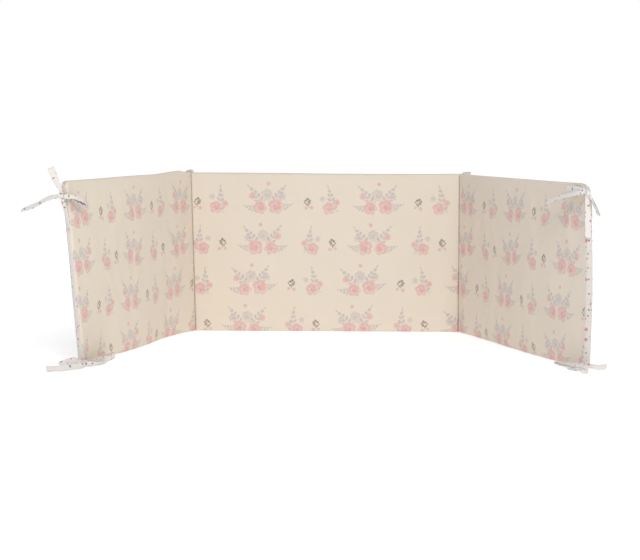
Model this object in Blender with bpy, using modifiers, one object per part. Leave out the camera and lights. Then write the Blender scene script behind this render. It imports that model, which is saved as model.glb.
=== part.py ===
"""Three-panel crib bumper, standing on its bottom edge as a splayed U, with six tape ties.

Metres, +Z up.  The origin is in the middle of the centre panel's bottom edge, on the surface the
bumper stands on.  The centre panel lies along X and its printed inner face looks along -Y.  The
side panels turn forward from it at two sewn folds.
"""

import math
from collections import namedtuple

import bmesh
import bpy
from mathutils import Matrix, Vector

MM = 0.001
UP = Vector((0.0, 0.0, 1.0))

# ---------------------------------------------------------------- driving dimensions of the pad

PANEL_LENGTH = 0.600        # each side panel, from its fold's stitching to its outer end
HEIGHT = 0.352              # from the surface to the top seam
EDGE_HALF = 0.0072          # half the pad's thickness just inside a sewn edge
CROWN = 0.0030              # how far each face swells beyond that in the middle of a panel
DRAW_IN = 0.0015            # how far the top edge dips between a panel's corners

# Where each fold's stitching stands, how far each side panel turns out from square at its foot and
# its top, and how much more than that it turns halfway up
Fold = namedtuple("Fold", "side x_floor x_top splay_floor splay_top belly")
LEFT_FOLD = Fold(-1, -0.2952, -0.3054, math.radians(16.5), math.radians(18.7), 0.0)
RIGHT_FOLD = Fold(1, 0.3006, 0.2996, math.radians(19.45), math.radians(19.15), math.radians(0.45))

STITCH_HALF = 0.0020        # half the thickness left where the stitching pinches the pad
SLOT_HALF = 0.0008          # half the gap between two inner faces that close on a fold
INNER_ROUND = 0.0050        # rounding of an inner face into the fold
OUTER_ROUND = 0.0120        # rounding of an outer face into the fold

SEAM_ROUND = 0.0055         # rounding of the faces into the top seam and the outer ends
SEAM_HALF = 0.0024          # half the width of the seam along the top and the outer ends
FOOT_ROUND = 0.0050         # rounding of the faces into the foot
FOOT_HALF = 0.0040          # half the width of the flat foot
CORNER_ROUND = {"left": 0.012, "right": 0.030}  # rounding of the outer top corners
CORNER_SQUASH = 0.9         # how far down those corners drop, as a share of their rounding

FOLD_STEPS = 6              # stations that round a face into a fold
END_STEPS = 4               # stations that round a face into an outer end
CORNER_STEPS = 3            # stations from there to the end of an outer corner's rounding
SPAN_STEPS = 7              # stations across the flat of a panel
EDGE_STEPS = 4              # levels that round a face into the top seam, and into the foot
RISE_STEPS = 6              # levels between those

SWELL_POWER = 4             # how squarely a face swells: 2 is a plain arch
HUMP_POWER = 4              # how closely the top edge's humps keep to the top
CORNER_POWER = 12           # how closely the outer corners' rounding keeps to the top
LEVEL_SHARE = 1 / 12        # share of a panel's length in which its top edge comes level at a corner

# Slow waves that bow a panel out of its plane: how far, how many half waves along it and up it,
# and how far the upward wave is shifted, in radians
Wave = namedtuple("Wave", "depth along upward lean")
AT_FOOT = math.pi / 4       # the shift that makes a quarter wave full at the foot and flat at the top
PANEL_WAVES = {
    "left": (
        Wave(0.0040, 1, 1, 0.25), Wave(0.0016, 3, 2, 0.0), Wave(-0.0135, 1, 0.5, AT_FOOT),
        Wave(0.0030, 2, 0.5, AT_FOOT), Wave(-0.0040, 3, 0.5, AT_FOOT),
    ),
    "centre": (Wave(-0.0022, 1, 1, 0.0), Wave(0.0012, 4, 1, 0.5)),
    "right": (
        Wave(0.0030, 1, 1, 0.0), Wave(-0.0015, 2, 2, 0.3), Wave(0.0065, 1, 0.5, AT_FOOT),
        Wave(-0.0050, 2, 0.5, AT_FOOT),
    ),
}

# Soft humps along a panel's top edge: how high, where along the panel, and how far they reach
Hump = namedtuple("Hump", "height at reach")
TOP_HUMPS = {
    "left": (Hump(0.0055, 0.90, 0.15), Hump(0.0028, 0.50, 0.26)),
    "centre": (Hump(0.0012, 0.30, 0.25),),
    "right": (Hump(0.0008, 0.45, 0.25),),
}

# ---------------------------------------------------------------- driving dimensions of the ties

TAPE_THICKNESS = 0.0012
LOOP_GAP = 3.4              # between the middles of most flattened loops' two layers, in millimetres
TIP_STEPS = 3               # steps that turn a loop's tip
KNOT_SIZE = Vector((0.0075, 0.0070, 0.0065))
KNOT_SIDES = 12
KNOT_RINGS = 8
KNOT_WAIST = 0.22           # how far a knot is drawn in round its middle
KNOT_WAIST_REACH = 0.45     # how far up and down that reaches, as a share of its height
KNOT_OVERRUN = 0.0016       # how far an arm's tape runs on past the middle of the knot
RIBBON_STEP = 0.0065        # length of tape between two of its cross-sections

CLOTH_COLOUR = (0.80, 0.73, 0.61, 1.0)
TAPE_COLOUR = (0.78, 0.76, 0.73, 1.0)
CLOTH_ROUGHNESS = 0.85

COLLECTION = "crib_bumper"
CUTTERS = "cutters"


# ---------------------------------------------------------------- where the panels stand

def rising(floor_value, top_value, level):
    """A value that changes evenly from the surface to the top seam."""
    return floor_value + (top_value - floor_value) * level / HEIGHT


def fold_point(fold, level):
    return Vector((rising(fold.x_floor, fold.x_top, level), 0.0, level))


def splay(fold, level):
    """How far a side panel turns out from square at a height."""
    belly = fold.belly * math.sin(math.pi * level / HEIGHT)
    return rising(fold.splay_floor, fold.splay_top, level) + belly


def outward(fold, level):
    """The direction of a side panel, from its fold to its outer end."""
    turn = splay(fold, level)
    return Vector((fold.side * math.sin(turn), -math.cos(turn), 0.0))


def panel_frame(panel, level):
    """The start, direction, length and inner normal of a panel, read from left to right."""
    left = fold_point(LEFT_FOLD, level)
    right = fold_point(RIGHT_FOLD, level)
    if panel == "left":
        along = -outward(LEFT_FOLD, level)
        start, length = left - along * PANEL_LENGTH, PANEL_LENGTH
    elif panel == "centre":
        start, along, length = left, (right - left).normalized(), (right - left).length
    else:
        start, along, length = right, outward(RIGHT_FOLD, level), PANEL_LENGTH
    return start, along, length, along.cross(UP)


def bow(panel, share, level):
    """How far the middle of a panel stands off its plane, towards its inner face."""
    total = 0.0
    for wave in PANEL_WAVES[panel]:
        climb = math.cos(math.pi * wave.upward * (level / HEIGHT - 0.5) + wave.lean)
        total += wave.depth * math.sin(math.pi * wave.along * share) * climb
    return total


def lift(panel, share):
    """How far the top edge stands above or below its even height."""
    rise = -DRAW_IN * math.sin(math.pi * share)
    for hump in TOP_HUMPS[panel]:
        rise += hump.height * math.exp(-((share - hump.at) / hump.reach) ** 2)
    return rise * min(1.0, share / LEVEL_SHARE, (1.0 - share) / LEVEL_SHARE)


# ---------------------------------------------------------------- the pad's section

def quarter(steps, first=0):
    """Angles that turn from a seam onto a face."""
    return [0.5 * math.pi * k / steps for k in range(first, steps + 1)]


def end_profile(panel):
    """(distance from an outer end, half thickness) pairs, rounding from the seam to the face."""
    rounded = [
        (SEAM_ROUND * (1.0 - math.cos(turn)), SEAM_HALF + (EDGE_HALF - SEAM_HALF) * math.sin(turn))
        for turn in quarter(END_STEPS)
    ]
    step = (CORNER_ROUND[panel] - SEAM_ROUND) / CORNER_STEPS
    corner = [(SEAM_ROUND + step * k, EDGE_HALF) for k in range(1, CORNER_STEPS + 1)]
    return rounded + corner


def inner_fold_profile(half_angle):
    """(distance from the stitching, half thickness) pairs on the inner side of a fold.

    They climb beside the plane that halves the fold, then round onto the inner face.
    """
    sine, cosine = math.sin(half_angle), math.cos(half_angle)
    centre_up = EDGE_HALF - INNER_ROUND
    centre_along = (SLOT_HALF + INNER_ROUND + centre_up * cosine) / sine
    turns = [half_angle * k / (FOLD_STEPS - 2) for k in range(FOLD_STEPS - 1)]
    rounded = [
        (centre_along - INNER_ROUND * math.sin(turn), centre_up + INNER_ROUND * math.cos(turn))
        for turn in reversed(turns)
    ]
    depth = STITCH_HALF + SLOT_HALF
    wall = (depth * cosine + SLOT_HALF * sine, depth * sine - SLOT_HALF * cosine)
    return [wall] + rounded


def outer_fold_profile():
    """The same on the outer side, where the fold opens."""
    return [
        (OUTER_ROUND * (1.0 - math.cos(turn)), STITCH_HALF + (EDGE_HALF - STITCH_HALF) * math.sin(turn))
        for turn in quarter(FOLD_STEPS, first=1)
    ]


def flat_profile(start, end):
    """Even stations across the flat of a panel, without those at its two ends."""
    return [
        (start + (end - start) * k / (SPAN_STEPS + 1), EDGE_HALF) for k in range(1, SPAN_STEPS + 1)
    ]


def mirrored(profile, length):
    return [(length - along, half) for along, half in reversed(profile)]


def panel_stations(panel, length, fold_angle, inner):
    """All (distance from the panel's start, half thickness) pairs of one face."""
    fold = inner_fold_profile(fold_angle) if inner else outer_fold_profile()
    start = end_profile("left") if panel == "left" else fold
    end = mirrored(end_profile("right") if panel == "right" else fold, length)
    return start + flat_profile(start[-1][0], end[0][0]) + end


def thinning(level, top):
    """How much of its full thickness the pad has at a height: less at the foot and the seam."""
    share = 1.0
    if level < FOOT_ROUND:
        turn = math.acos(1.0 - level / FOOT_ROUND)
        share = FOOT_HALF / EDGE_HALF + (1.0 - FOOT_HALF / EDGE_HALF) * math.sin(turn)
    below = max(0.0, top - level)
    if below < SEAM_ROUND:
        turn = math.acos(1.0 - below / SEAM_ROUND)
        share = SEAM_HALF / EDGE_HALF + (1.0 - SEAM_HALF / EDGE_HALF) * math.sin(turn)
    return share


def swell(share):
    """Rises from 0 at a panel's edge to 1 over its middle."""
    return 1.0 - (2.0 * share - 1.0) ** SWELL_POWER


def face_point(panel, level, along, half, inner):
    """A point of the pad's inner or outer face; level is its height before the edge's humps."""
    start, direction, length, normal = panel_frame(panel, level)
    share = min(1.0, max(0.0, along / length))
    crown = CROWN * swell(share) * swell(level / HEIGHT)
    thickness = (half + crown) * thinning(level, HEIGHT)
    off = bow(panel, share, level) + (thickness if inner else -thickness)
    point = start + direction * along + normal * off
    point.z = level + lift(panel, share) * (level / HEIGHT) ** HUMP_POWER
    point.z -= corner_drop(panel, along, level)
    return point


def corner_drop(panel, along, level):
    """How much lower a point is for the round top corner of its panel's outer end."""
    if panel == "centre":
        return 0.0
    radius = CORNER_ROUND[panel]
    from_end = along if panel == "left" else PANEL_LENGTH - along
    reach = radius - min(radius, max(0.0, from_end))
    drop = radius - math.sqrt(radius ** 2 - reach ** 2)
    return CORNER_SQUASH * drop * (level / HEIGHT) ** CORNER_POWER


def stitch_point(fold, level, inner):
    """The pinched point on a fold, which the two panels share."""
    inward = (panel_frame("centre", level)[3] + fold_side_normal(fold, level)).normalized()
    depth = STITCH_HALF * thinning(level, HEIGHT)
    return fold_point(fold, level) + inward * (depth if inner else -depth)


def fold_side_normal(fold, level):
    return panel_frame("left" if fold.side < 0 else "right", level)[3]


def pad_section(level, inner):
    """The points of one face at one height, from the left outer end to the right one."""
    half_angles = {
        fold: 0.5 * (0.5 * math.pi + splay(fold, level))
        for fold in (LEFT_FOLD, RIGHT_FOLD)
    }
    points = []
    for panel, fold in (("left", LEFT_FOLD), ("centre", LEFT_FOLD), ("right", RIGHT_FOLD)):
        length = panel_frame(panel, level)[2]
        for along, half in panel_stations(panel, length, half_angles[fold], inner):
            points.append(face_point(panel, level, along, half, inner))
        if panel != "right":
            next_fold = LEFT_FOLD if panel == "left" else RIGHT_FOLD
            points.append(stitch_point(next_fold, level, inner))
    return points


def pad_levels():
    """Heights of the pad's sections, close together where its faces round into an edge."""
    foot = [FOOT_ROUND * (1.0 - math.cos(turn)) for turn in quarter(EDGE_STEPS)]
    seam = [HEIGHT - SEAM_ROUND * (1.0 - math.cos(turn)) for turn in reversed(quarter(EDGE_STEPS))]
    gap = (seam[0] - foot[-1]) / (RISE_STEPS + 1)
    return foot + [foot[-1] + gap * k for k in range(1, RISE_STEPS + 1)] + seam


def add_cloth_face(mesh, sections):
    """A grid of faces laid through a list of sections, and the edges round its border."""
    columns, rows = len(sections[0]), len(sections)
    made = bmesh.ops.create_grid(mesh, x_segments=columns - 1, y_segments=rows - 1, size=0.5)
    for vert in made["verts"]:
        column = round((vert.co.x + 0.5) * (columns - 1))
        row = round((vert.co.y + 0.5) * (rows - 1))
        vert.co = sections[row][column]
    return [edge for edge in mesh.edges if edge.is_boundary and edge.verts[0] in made["verts"]]


def make_pad():
    """The filled pad: an inner and an outer face joined round their border."""
    mesh = bmesh.new()
    borders = []
    for inner in (True, False):
        sections = [pad_section(level, inner) for level in pad_levels()]
        borders += add_cloth_face(mesh, sections)
    bmesh.ops.bridge_loops(mesh, edges=borders)
    bmesh.ops.recalc_face_normals(mesh, faces=mesh.faces)
    pad = new_object("bumper_pad", mesh, "cotton_cover", CLOTH_COLOUR)
    pad.data.shade_smooth()
    return pad


# ---------------------------------------------------------------- tape ties

# A bend of a tape in the frame of the corner it is sewn to, in millimetres: how far past the
# pad's outer end, how far in front of the pad's middle, how high, how wide the tape is there
# and how many degrees its width leans.  Behind a fold, past runs along +X and front along -Y.
Bend = namedtuple("Bend", "past front up width lean")

# An arm of a tie: the way its width points, as (past, front, up), its bends from the knot, and the
# millimetres between the middles of its two layers if it is a loop.  A loop's bends run midway
# between them; a tail is one layer with a free end.
Arm = namedtuple("Arm", "name wide bends gap")

ON_EDGE = (0.0, 0.0, 1.0)
FACING = (0.0, 1.0, 0.0)
SIDEWAYS = (1.0, 0.0, 0.0)
LEANING = (0.0, 0.45, 0.9)


def arm(name, wide, *rows, gap=LOOP_GAP):
    return Arm(name, Vector(wide), [Bend(*row) for row in rows], gap)


TOP_LEFT_ARMS = (
    arm("seam", ON_EDGE, (1.5, 0.5, 326, 12, 0), (4.6, -0.8, 326, 9, 0), (9, -2.1, 325, 6, 0)),
    arm(
        "loop_up", FACING,
        (9, -2.1, 325, 6, 12), (8.6, -3.8, 334, 7, 15), (7.8, -9.4, 347, 10, 25),
        (7.2, -15.8, 360.5, 12.5, 25), (7.4, -20.2, 375, 12.5, 25),
    ),
    arm(
        "loop_right", ON_EDGE,
        (9, -2.1, 325, 6, 0), (11, 6.9, 324, 8, 0), (5, 16.3, 322, 9, -20), (-12, 20.3, 317, 12, -35),
        (-27, 21.7, 311.5, 12, -40), (-32, 22, 309.6, 12, -40),
        gap=5.6,
    ),
    arm(
        "tail_left", ON_EDGE,
        (9, -2.1, 325, 6, 10), (10, -13.1, 323.5, 9, 30), (11, -25.1, 321, 11, 38),
        (12, -38.2, 316, 12, 40), (14, -55.3, 307.5, 12, 45), (16, -73.3, 300, 12, 52),
        (16.5, -86.3, 296.5, 12, 66),
    ),
    arm(
        "tail_down", FACING,
        (9, -2.1, 325, 6, 0), (10, -0.7, 314, 8, 10), (9.4, 1.2, 302, 11, 30), (7.5, 2.6, 288, 12, 40),
        (7, 3.5, 275, 12, 40), (6.5, 4.3, 262, 12, 40),
    ),
)

TOP_RIGHT_ARMS = (
    arm("seam", ON_EDGE, (1.6, 0, 328, 12, 0), (5, 3.5, 331, 10, 0), (9, 9, 335, 6, 0)),
    arm(
        "loop_inner", ON_EDGE,
        (9, 9, 335, 6, 0), (4, 14, 338.5, 10, 0), (-14, 17.4, 341.5, 12, 0), (-36, 17.4, 342.5, 12, 0),
        (-52, 17.4, 341, 12, 0),
    ),
    arm(
        "loop_outer", SIDEWAYS,
        (9, 9, 335, 6, 0), (11.5, 5.5, 329, 8, 6), (11.5, -1.5, 318, 11, 14),
        (11.5, -8, 306, 12, 14), (11.5, -13, 294, 12, 14),
        gap=2.2,
    ),
    arm(
        "tail_inner", ON_EDGE,
        (9, 9, 335, 6, 0), (2, 18, 335.5, 8, 20), (-18, 26, 332.5, 11, 35),
        (-43, 30.5, 327.5, 12, 40), (-75, 35.2, 320, 12, 40), (-102, 38.4, 312.5, 12, 38),
    ),
    arm(
        "tail_down", FACING,
        (9, 9, 335, 6, 0), (8.5, 9, 324, 8, 0), (6.5, 7.8, 308, 11, 5), (5, 7, 290, 12, 10),
        (5, 7, 268, 12, 10), (5, 7.5, 250, 12, 10),
    ),
)

BOTTOM_LEFT_ARMS = (
    arm("seam", ON_EDGE, (1.6, 0, 9.4, 12, 0), (5.5, 2, 9.3, 10, 0), (11.5, 4, 9, 8, 0)),
    arm(
        "loop_right", ON_EDGE,
        (11.5, 4, 9, 8, 0), (6, 12, 8, 10, 0), (-8, 18, 6.8, 12, 0), (-36, 20, 6.6, 12, 0),
        (-80, 20, 6.6, 12, 0), (-112, 17.5, 6.6, 12, 0),
    ),
    arm(
        "loop_left", ON_EDGE,
        (11.5, 4, 9, 8, 0), (21.5, -3, 13.5, 12, 0), (34, -11.5, 12, 12, 15), (45, -21.5, 7.6, 12, 35),
    ),
    arm(
        "tail_right", ON_EDGE,
        (11.5, 4, 9, 8, 0), (8, 19, 7, 10, 30), (-12, 28, 4.5, 12, 55), (-34, 30.5, 3.8, 12, 62),
        (-56, 30, 3.6, 12, 62),
    ),
    arm(
        "tail_left", ON_EDGE,
        (11.5, 4, 9, 8, 0), (19, 14, 7.5, 10, 20), (36, 13, 5.6, 12, 35), (57, 2, 5.4, 12, 36),
        (76, -8, 5.4, 12, 36), (82, -20, 5.4, 12, 36), (88, -31, 5.4, 12, 36),
    ),
)

BOTTOM_RIGHT_ARMS = (
    arm("seam", ON_EDGE, (1.6, 0, 9.6, 12, 0), (12, 6, 9.4, 11, 0), (26, 15.9, 9, 8, 0)),
    arm(
        "loop_inner", ON_EDGE,
        (26, 15.9, 9, 8, 0), (14, 25, 8, 11, 35), (-4, 31, 6.4, 12, 72), (-30, 31.5, 5, 12, 80),
        (-66, 31, 4, 12, 80),
        gap=2.4,
    ),
    arm(
        "loop_front", ON_EDGE,
        (26, 15.9, 9, 8, 0), (39, 24.5, 8, 11, 25), (55, 35, 5.8, 12, 55), (70, 43, 5.2, 12, 64),
        gap=2.4,
    ),
    arm(
        "tail_inner", ON_EDGE,
        (26, 15.9, 9, 8, 0), (31, 26, 5, 10, 45), (27, 35, 2.4, 12, 75), (14, 38, 1.6, 12, 86),
        (-2, 37, 1.4, 12, 88),
    ),
    arm(
        "tail_outer", ON_EDGE,
        (26, 15.9, 9, 8, 0), (34, 5.9, 7.8, 10, 10), (37.5, -4.1, 6.3, 12, 20), (37, -13.1, 6.3, 12, 22),
        (35, -21.6, 6.3, 12, 22),
    ),
)

LEFT_FOLD_ARMS = (
    arm(
        "loop_over", LEANING,
        (-7, -10, 338, 7, 0), (-9, -12.8, 345, 9, 0), (-3, -13.4, 351.5, 12, 0), (6, -13, 352, 12, 0),
    ),
    arm(
        "loop_side", ON_EDGE,
        (-7, -10, 338, 7, 0), (-13.5, -3, 338.5, 9, 0), (-18.5, 11, 336.5, 12, 0),
        (-22, 26, 334, 12, 0),
    ),
    arm(
        "tail_right", SIDEWAYS,
        (-7, -10, 338, 7, 0), (-6, -13, 326, 9, 0), (-2, -14, 308, 12, 0), (3, -13, 282, 12, 0),
        (5, -12, 254, 12, 0),
    ),
    arm(
        "tail_left", FACING,
        (-7, -10, 338, 7, 0), (-12, -8, 325, 9, 0), (-16, -3, 306, 12, 0), (-17, 3, 280, 12, 0),
        (-17, 6, 262, 12, 0),
    ),
)

RIGHT_FOLD_ARMS = (
    arm(
        "loop_over", LEANING,
        (4, -11.5, 338, 7, 0), (3, -13.2, 344.5, 9, 0), (9, -13.4, 350, 12, 0), (19, -12.8, 350, 12, 0),
    ),
    arm(
        "loop_side", ON_EDGE,
        (4, -11.5, 338, 7, 0), (-5, -12.6, 337.5, 9, 0), (-16, -12.6, 335.5, 12, 0),
        (-31, -12.4, 334, 12, 0),
    ),
    arm(
        "tail_left", SIDEWAYS,
        (4, -11.5, 338, 7, 0), (5, -13, 326, 9, 0), (0, -14, 306, 12, 0), (-4, -13, 280, 12, 0),
        (-5, -12, 258, 12, 0),
    ),
    arm(
        "tail_right", FACING,
        (4, -11.5, 338, 7, 0), (12, -8, 325, 9, 0), (17, -3, 304, 12, 0), (18.5, 3, 276, 12, 0),
        (18.5, 6, 250, 12, 0),
    ),
)

# A tie: the fold whose panel carries it, whether it is sewn to that panel's end, and its arms.
Tie = namedtuple("Tie", "name fold at_end arms")
TIES = (
    Tie("tie_top_left", LEFT_FOLD, True, TOP_LEFT_ARMS),
    Tie("tie_top_right", RIGHT_FOLD, True, TOP_RIGHT_ARMS),
    Tie("tie_bottom_left", LEFT_FOLD, True, BOTTOM_LEFT_ARMS),
    Tie("tie_bottom_right", RIGHT_FOLD, True, BOTTOM_RIGHT_ARMS),
    Tie("tie_fold_left", LEFT_FOLD, False, LEFT_FOLD_ARMS),
    Tie("tie_fold_right", RIGHT_FOLD, False, RIGHT_FOLD_ARMS),
)


def tie_frame(tie, level):
    """The point a tie's bends are measured from at a height, and its past and front directions."""
    if not tie.at_end:
        return fold_point(tie.fold, level), Vector((1.0, 0.0, 0.0)), Vector((0.0, -1.0, 0.0))
    past = outward(tie.fold, level)
    end = fold_point(tie.fold, level) + past * PANEL_LENGTH
    return end, past, fold_side_normal(tie.fold, level)


def bend_point(tie, bend):
    level = bend.up * MM
    origin, past, front = tie_frame(tie, level)
    return origin + past * bend.past * MM + front * bend.front * MM


def smooth(values, share):
    """A value read from a smooth curve through evenly numbered ones."""
    place = share * (len(values) - 1)
    k = min(int(place), len(values) - 2)
    t = place - k
    before, here, after = values[max(k - 1, 0)], values[k], values[k + 1]
    beyond = values[min(k + 2, len(values) - 1)]
    return 0.5 * (
        2.0 * here
        + (after - before) * t
        + (2.0 * before - 5.0 * here + 4.0 * after - beyond) * t ** 2
        + (3.0 * here - before - 3.0 * after + beyond) * t ** 3
    )


def arm_line(tie, tape_arm):
    """Places along an arm: (point, direction, half its width as a vector) at even steps."""
    points = [bend_point(tie, bend) for bend in tape_arm.bends]
    knot = bend_point(tie, tie.arms[-1].bends[0])
    inside, neighbour = (-1, -2) if tape_arm.name == "seam" else (0, 1)
    points[inside] += (knot - points[neighbour]).normalized() * KNOT_OVERRUN
    length = sum((b - a).length for a, b in zip(points, points[1:]))
    steps = max(3, round(length / RIBBON_STEP))
    path = [smooth(points, k / steps) for k in range(steps + 1)]
    past, front = tie_frame(tie, tape_arm.bends[0].up * MM)[1:]
    wide = past * tape_arm.wide.x + front * tape_arm.wide.y + UP * tape_arm.wide.z
    line = []
    for k, point in enumerate(path):
        tangent = (path[min(k + 1, steps)] - path[max(k - 1, 0)]).normalized()
        across = (wide - tangent * wide.dot(tangent)).normalized()
        lean = math.radians(smooth([bend.lean for bend in tape_arm.bends], k / steps))
        width = smooth([bend.width for bend in tape_arm.bends], k / steps) * MM
        line.append((point, tangent, Matrix.Rotation(lean, 3, tangent) @ across * 0.5 * width))
    return line


def looped(line, gap):
    """An arm's line doubled into a loop: out on one side, round its tip and back on the other."""
    out, back = [], []
    for point, tangent, across in line:
        off = tangent.cross(across).normalized() * 0.5 * gap
        out.append((point + off, across))
        back.append((point - off, across))
    point, tangent, across = line[-1]
    off = tangent.cross(across).normalized() * 0.5 * gap
    tip = []
    for k in range(1, TIP_STEPS):
        turn = math.pi * k / TIP_STEPS
        round_tip = off * math.cos(turn) + tangent * 0.5 * gap * math.sin(turn)
        tip.append((point + round_tip, across))
    return out + tip + back[::-1]


def make_ribbon(tie, tape_arm):
    """One arm of a tie: an open strip along its path, thickened to the tape."""
    line = arm_line(tie, tape_arm)
    if tape_arm.name.startswith("loop"):
        middle = looped(line, tape_arm.gap * MM)
    else:
        middle = [(point, across) for point, tangent, across in line]
    mesh = bmesh.new()
    add_cloth_face(mesh, [[point - across, point + across] for point, across in middle])
    name = tie.name + "_" + tape_arm.name
    ribbon = new_object(name, mesh, "cotton_tape", TAPE_COLOUR, CUTTERS)
    ribbon.hide_render = True
    ribbon.display_type = "WIRE"
    shell = ribbon.modifiers.new("tape", "SOLIDIFY")
    shell.thickness = TAPE_THICKNESS
    shell.offset = 0.0
    return ribbon


def make_knot(tie):
    """The lump where the arms cross: a ball drawn in round its middle by the tape's last turn."""
    mesh = bmesh.new()
    bmesh.ops.create_uvsphere(mesh, u_segments=KNOT_SIDES, v_segments=KNOT_RINGS, radius=1.0)
    for vert in mesh.verts:
        waist = 1.0 - KNOT_WAIST * math.exp(-((vert.co.z / KNOT_WAIST_REACH) ** 2))
        vert.co.x *= waist
        vert.co.y *= waist
    last = tie.arms[-1].bends[0]
    past, front = tie_frame(tie, last.up * MM)[1:]
    turn = Matrix((past, front, UP)).transposed().to_4x4()
    size = Matrix.Diagonal(KNOT_SIZE.to_4d())
    bmesh.ops.transform(mesh, matrix=turn @ size, verts=mesh.verts)
    bmesh.ops.translate(mesh, vec=bend_point(tie, last), verts=mesh.verts)
    knot = new_object(tie.name, mesh, tie.name + "_tape", TAPE_COLOUR)
    knot.data.shade_smooth()
    return knot


def make_tie(tie):
    """A tied tape: its knot with every arm joined on."""
    knot = make_knot(tie)
    for tape_arm in tie.arms:
        union = knot.modifiers.new(tape_arm.name, "BOOLEAN")
        union.operation = "UNION"
        union.solver = "EXACT"
        union.use_self = True
        union.object = make_ribbon(tie, tape_arm)


# ---------------------------------------------------------------- objects and materials

def new_object(name, mesh, material_name, colour, collection=COLLECTION):
    """An object made from a bmesh, with its material."""
    data = bpy.data.meshes.new(name)
    mesh.to_mesh(data)
    mesh.free()
    made = bpy.data.objects.new(name, data)
    bpy.data.collections[collection].objects.link(made)
    data.materials.append(bpy.data.materials.get(material_name) or new_material(material_name, colour))
    return made


def new_material(name, colour):
    material = bpy.data.materials.new(name)
    material.use_nodes = True
    shader = material.node_tree.nodes["Principled BSDF"]
    shader.inputs["Base Color"].default_value = colour
    shader.inputs["Roughness"].default_value = CLOTH_ROUGHNESS
    shader.inputs["Metallic"].default_value = 0.0
    return material


def main():
    for old in list(bpy.data.objects):
        bpy.data.objects.remove(old)
    for name in (COLLECTION, CUTTERS):
        made = bpy.data.collections.new(name)
        bpy.context.scene.collection.children.link(made)
    make_pad()
    for tie in TIES:
        make_tie(tie)


main()
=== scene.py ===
"""Looks of a three-panel crib bumper: a padded pad in printed cotton and six tape ties.

Metres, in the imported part's frame: the origin is in the middle of the centre panel's foot, X runs
along the centre panel, whose printed face looks along -Y, and Z is up.
"""

import math
from collections import namedtuple

import bmesh
import bpy
import numpy as np
from mathutils import Matrix, Vector


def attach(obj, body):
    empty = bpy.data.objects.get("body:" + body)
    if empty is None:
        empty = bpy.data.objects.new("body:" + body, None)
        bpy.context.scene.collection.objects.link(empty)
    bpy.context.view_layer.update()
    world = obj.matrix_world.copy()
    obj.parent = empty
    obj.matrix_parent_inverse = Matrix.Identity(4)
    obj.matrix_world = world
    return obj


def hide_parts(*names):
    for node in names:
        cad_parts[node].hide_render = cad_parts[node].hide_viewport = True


MM = 0.001
UP = Vector((0.0, 0.0, 1.0))

# ---------------------------------------------------------------- the pad's form, as in the solids

PANEL_LENGTH = 0.600
HEIGHT = 0.352
EDGE_HALF = 0.0072
CROWN = 0.0030
DRAW_IN = 0.0015

Fold = namedtuple("Fold", "side x_floor x_top splay_floor splay_top belly")
LEFT_FOLD = Fold(-1, -0.2952, -0.3054, math.radians(16.5), math.radians(18.7), 0.0)
RIGHT_FOLD = Fold(1, 0.3006, 0.2996, math.radians(19.45), math.radians(19.15), math.radians(0.45))

STITCH_HALF = 0.0020
SLOT_HALF = 0.0008
INNER_ROUND = 0.0050
OUTER_ROUND = 0.0120
SEAM_ROUND = 0.0055
SEAM_HALF = 0.0024
SEAM_RIDGE = 0.0006         # how far the sewn seam stands out of the pad's edge
FOOT_ROUND = 0.0050
FOOT_HALF = 0.0040
FOOT_RISE = 0.00008         # how much higher the edge of the foot is than its middle
# Part of the way out on a seam and on the foot: shares of the thickness and of the rise there
SEAM_MOST, SEAM_RISE, END_SEAM_MOST = 0.13, 0.6, 0.4
FOOT_MOST, FOOT_PART_RISE = 0.28, 0.5
CORNER_ROUND = {"left": 0.012, "right": 0.030}
CORNER_SQUASH = 0.9
SWELL_POWER = 4
HUMP_POWER = 4
CORNER_POWER = 12
LEVEL_SHARE = 1 / 12

Wave = namedtuple("Wave", "depth along upward lean")
AT_FOOT = math.pi / 4       # the shift that makes a wave full at the foot and flat at the top
PANEL_WAVES = {
    "left": (
        Wave(0.0040, 1, 1, 0.25), Wave(0.0016, 3, 2, 0.0), Wave(-0.0135, 1, 0.5, AT_FOOT),
        Wave(0.0030, 2, 0.5, AT_FOOT), Wave(-0.0040, 3, 0.5, AT_FOOT),
    ),
    "centre": (Wave(-0.0022, 1, 1, 0.0), Wave(0.0012, 4, 1, 0.5)),
    "right": (
        Wave(0.0030, 1, 1, 0.0), Wave(-0.0015, 2, 2, 0.3), Wave(0.0065, 1, 0.5, AT_FOOT),
        Wave(-0.0050, 2, 0.5, AT_FOOT),
    ),
}
Hump = namedtuple("Hump", "height at reach")
TOP_HUMPS = {
    "left": (Hump(0.0055, 0.90, 0.15), Hump(0.0028, 0.50, 0.26)),
    "centre": (Hump(0.0012, 0.30, 0.25),),
    "right": (Hump(0.0008, 0.45, 0.25),),
}

FOLD_STEPS = 9              # stations that round a face into a fold
END_STEPS = 6               # stations that round a face into an outer end
CORNER_STEPS = 5            # stations from there to the end of an outer corner's rounding
SPAN_STEPS = 95             # stations across the flat of a panel
EDGE_STEPS = 5              # levels that round a face into the top seam, and into the foot
RISE_STEPS = 57             # levels between those


def rising(floor_value, top_value, level):
    """A value that changes evenly from the surface to the top seam."""
    return floor_value + (top_value - floor_value) * level / HEIGHT


def fold_point(fold, level):
    return Vector((rising(fold.x_floor, fold.x_top, level), 0.0, level))


def splay(fold, level):
    """How far a side panel turns out from square at a height."""
    belly = fold.belly * math.sin(math.pi * level / HEIGHT)
    return rising(fold.splay_floor, fold.splay_top, level) + belly


def outward(fold, level):
    """The direction of a side panel, from its fold to its outer end."""
    turn = splay(fold, level)
    return Vector((fold.side * math.sin(turn), -math.cos(turn), 0.0))


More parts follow.
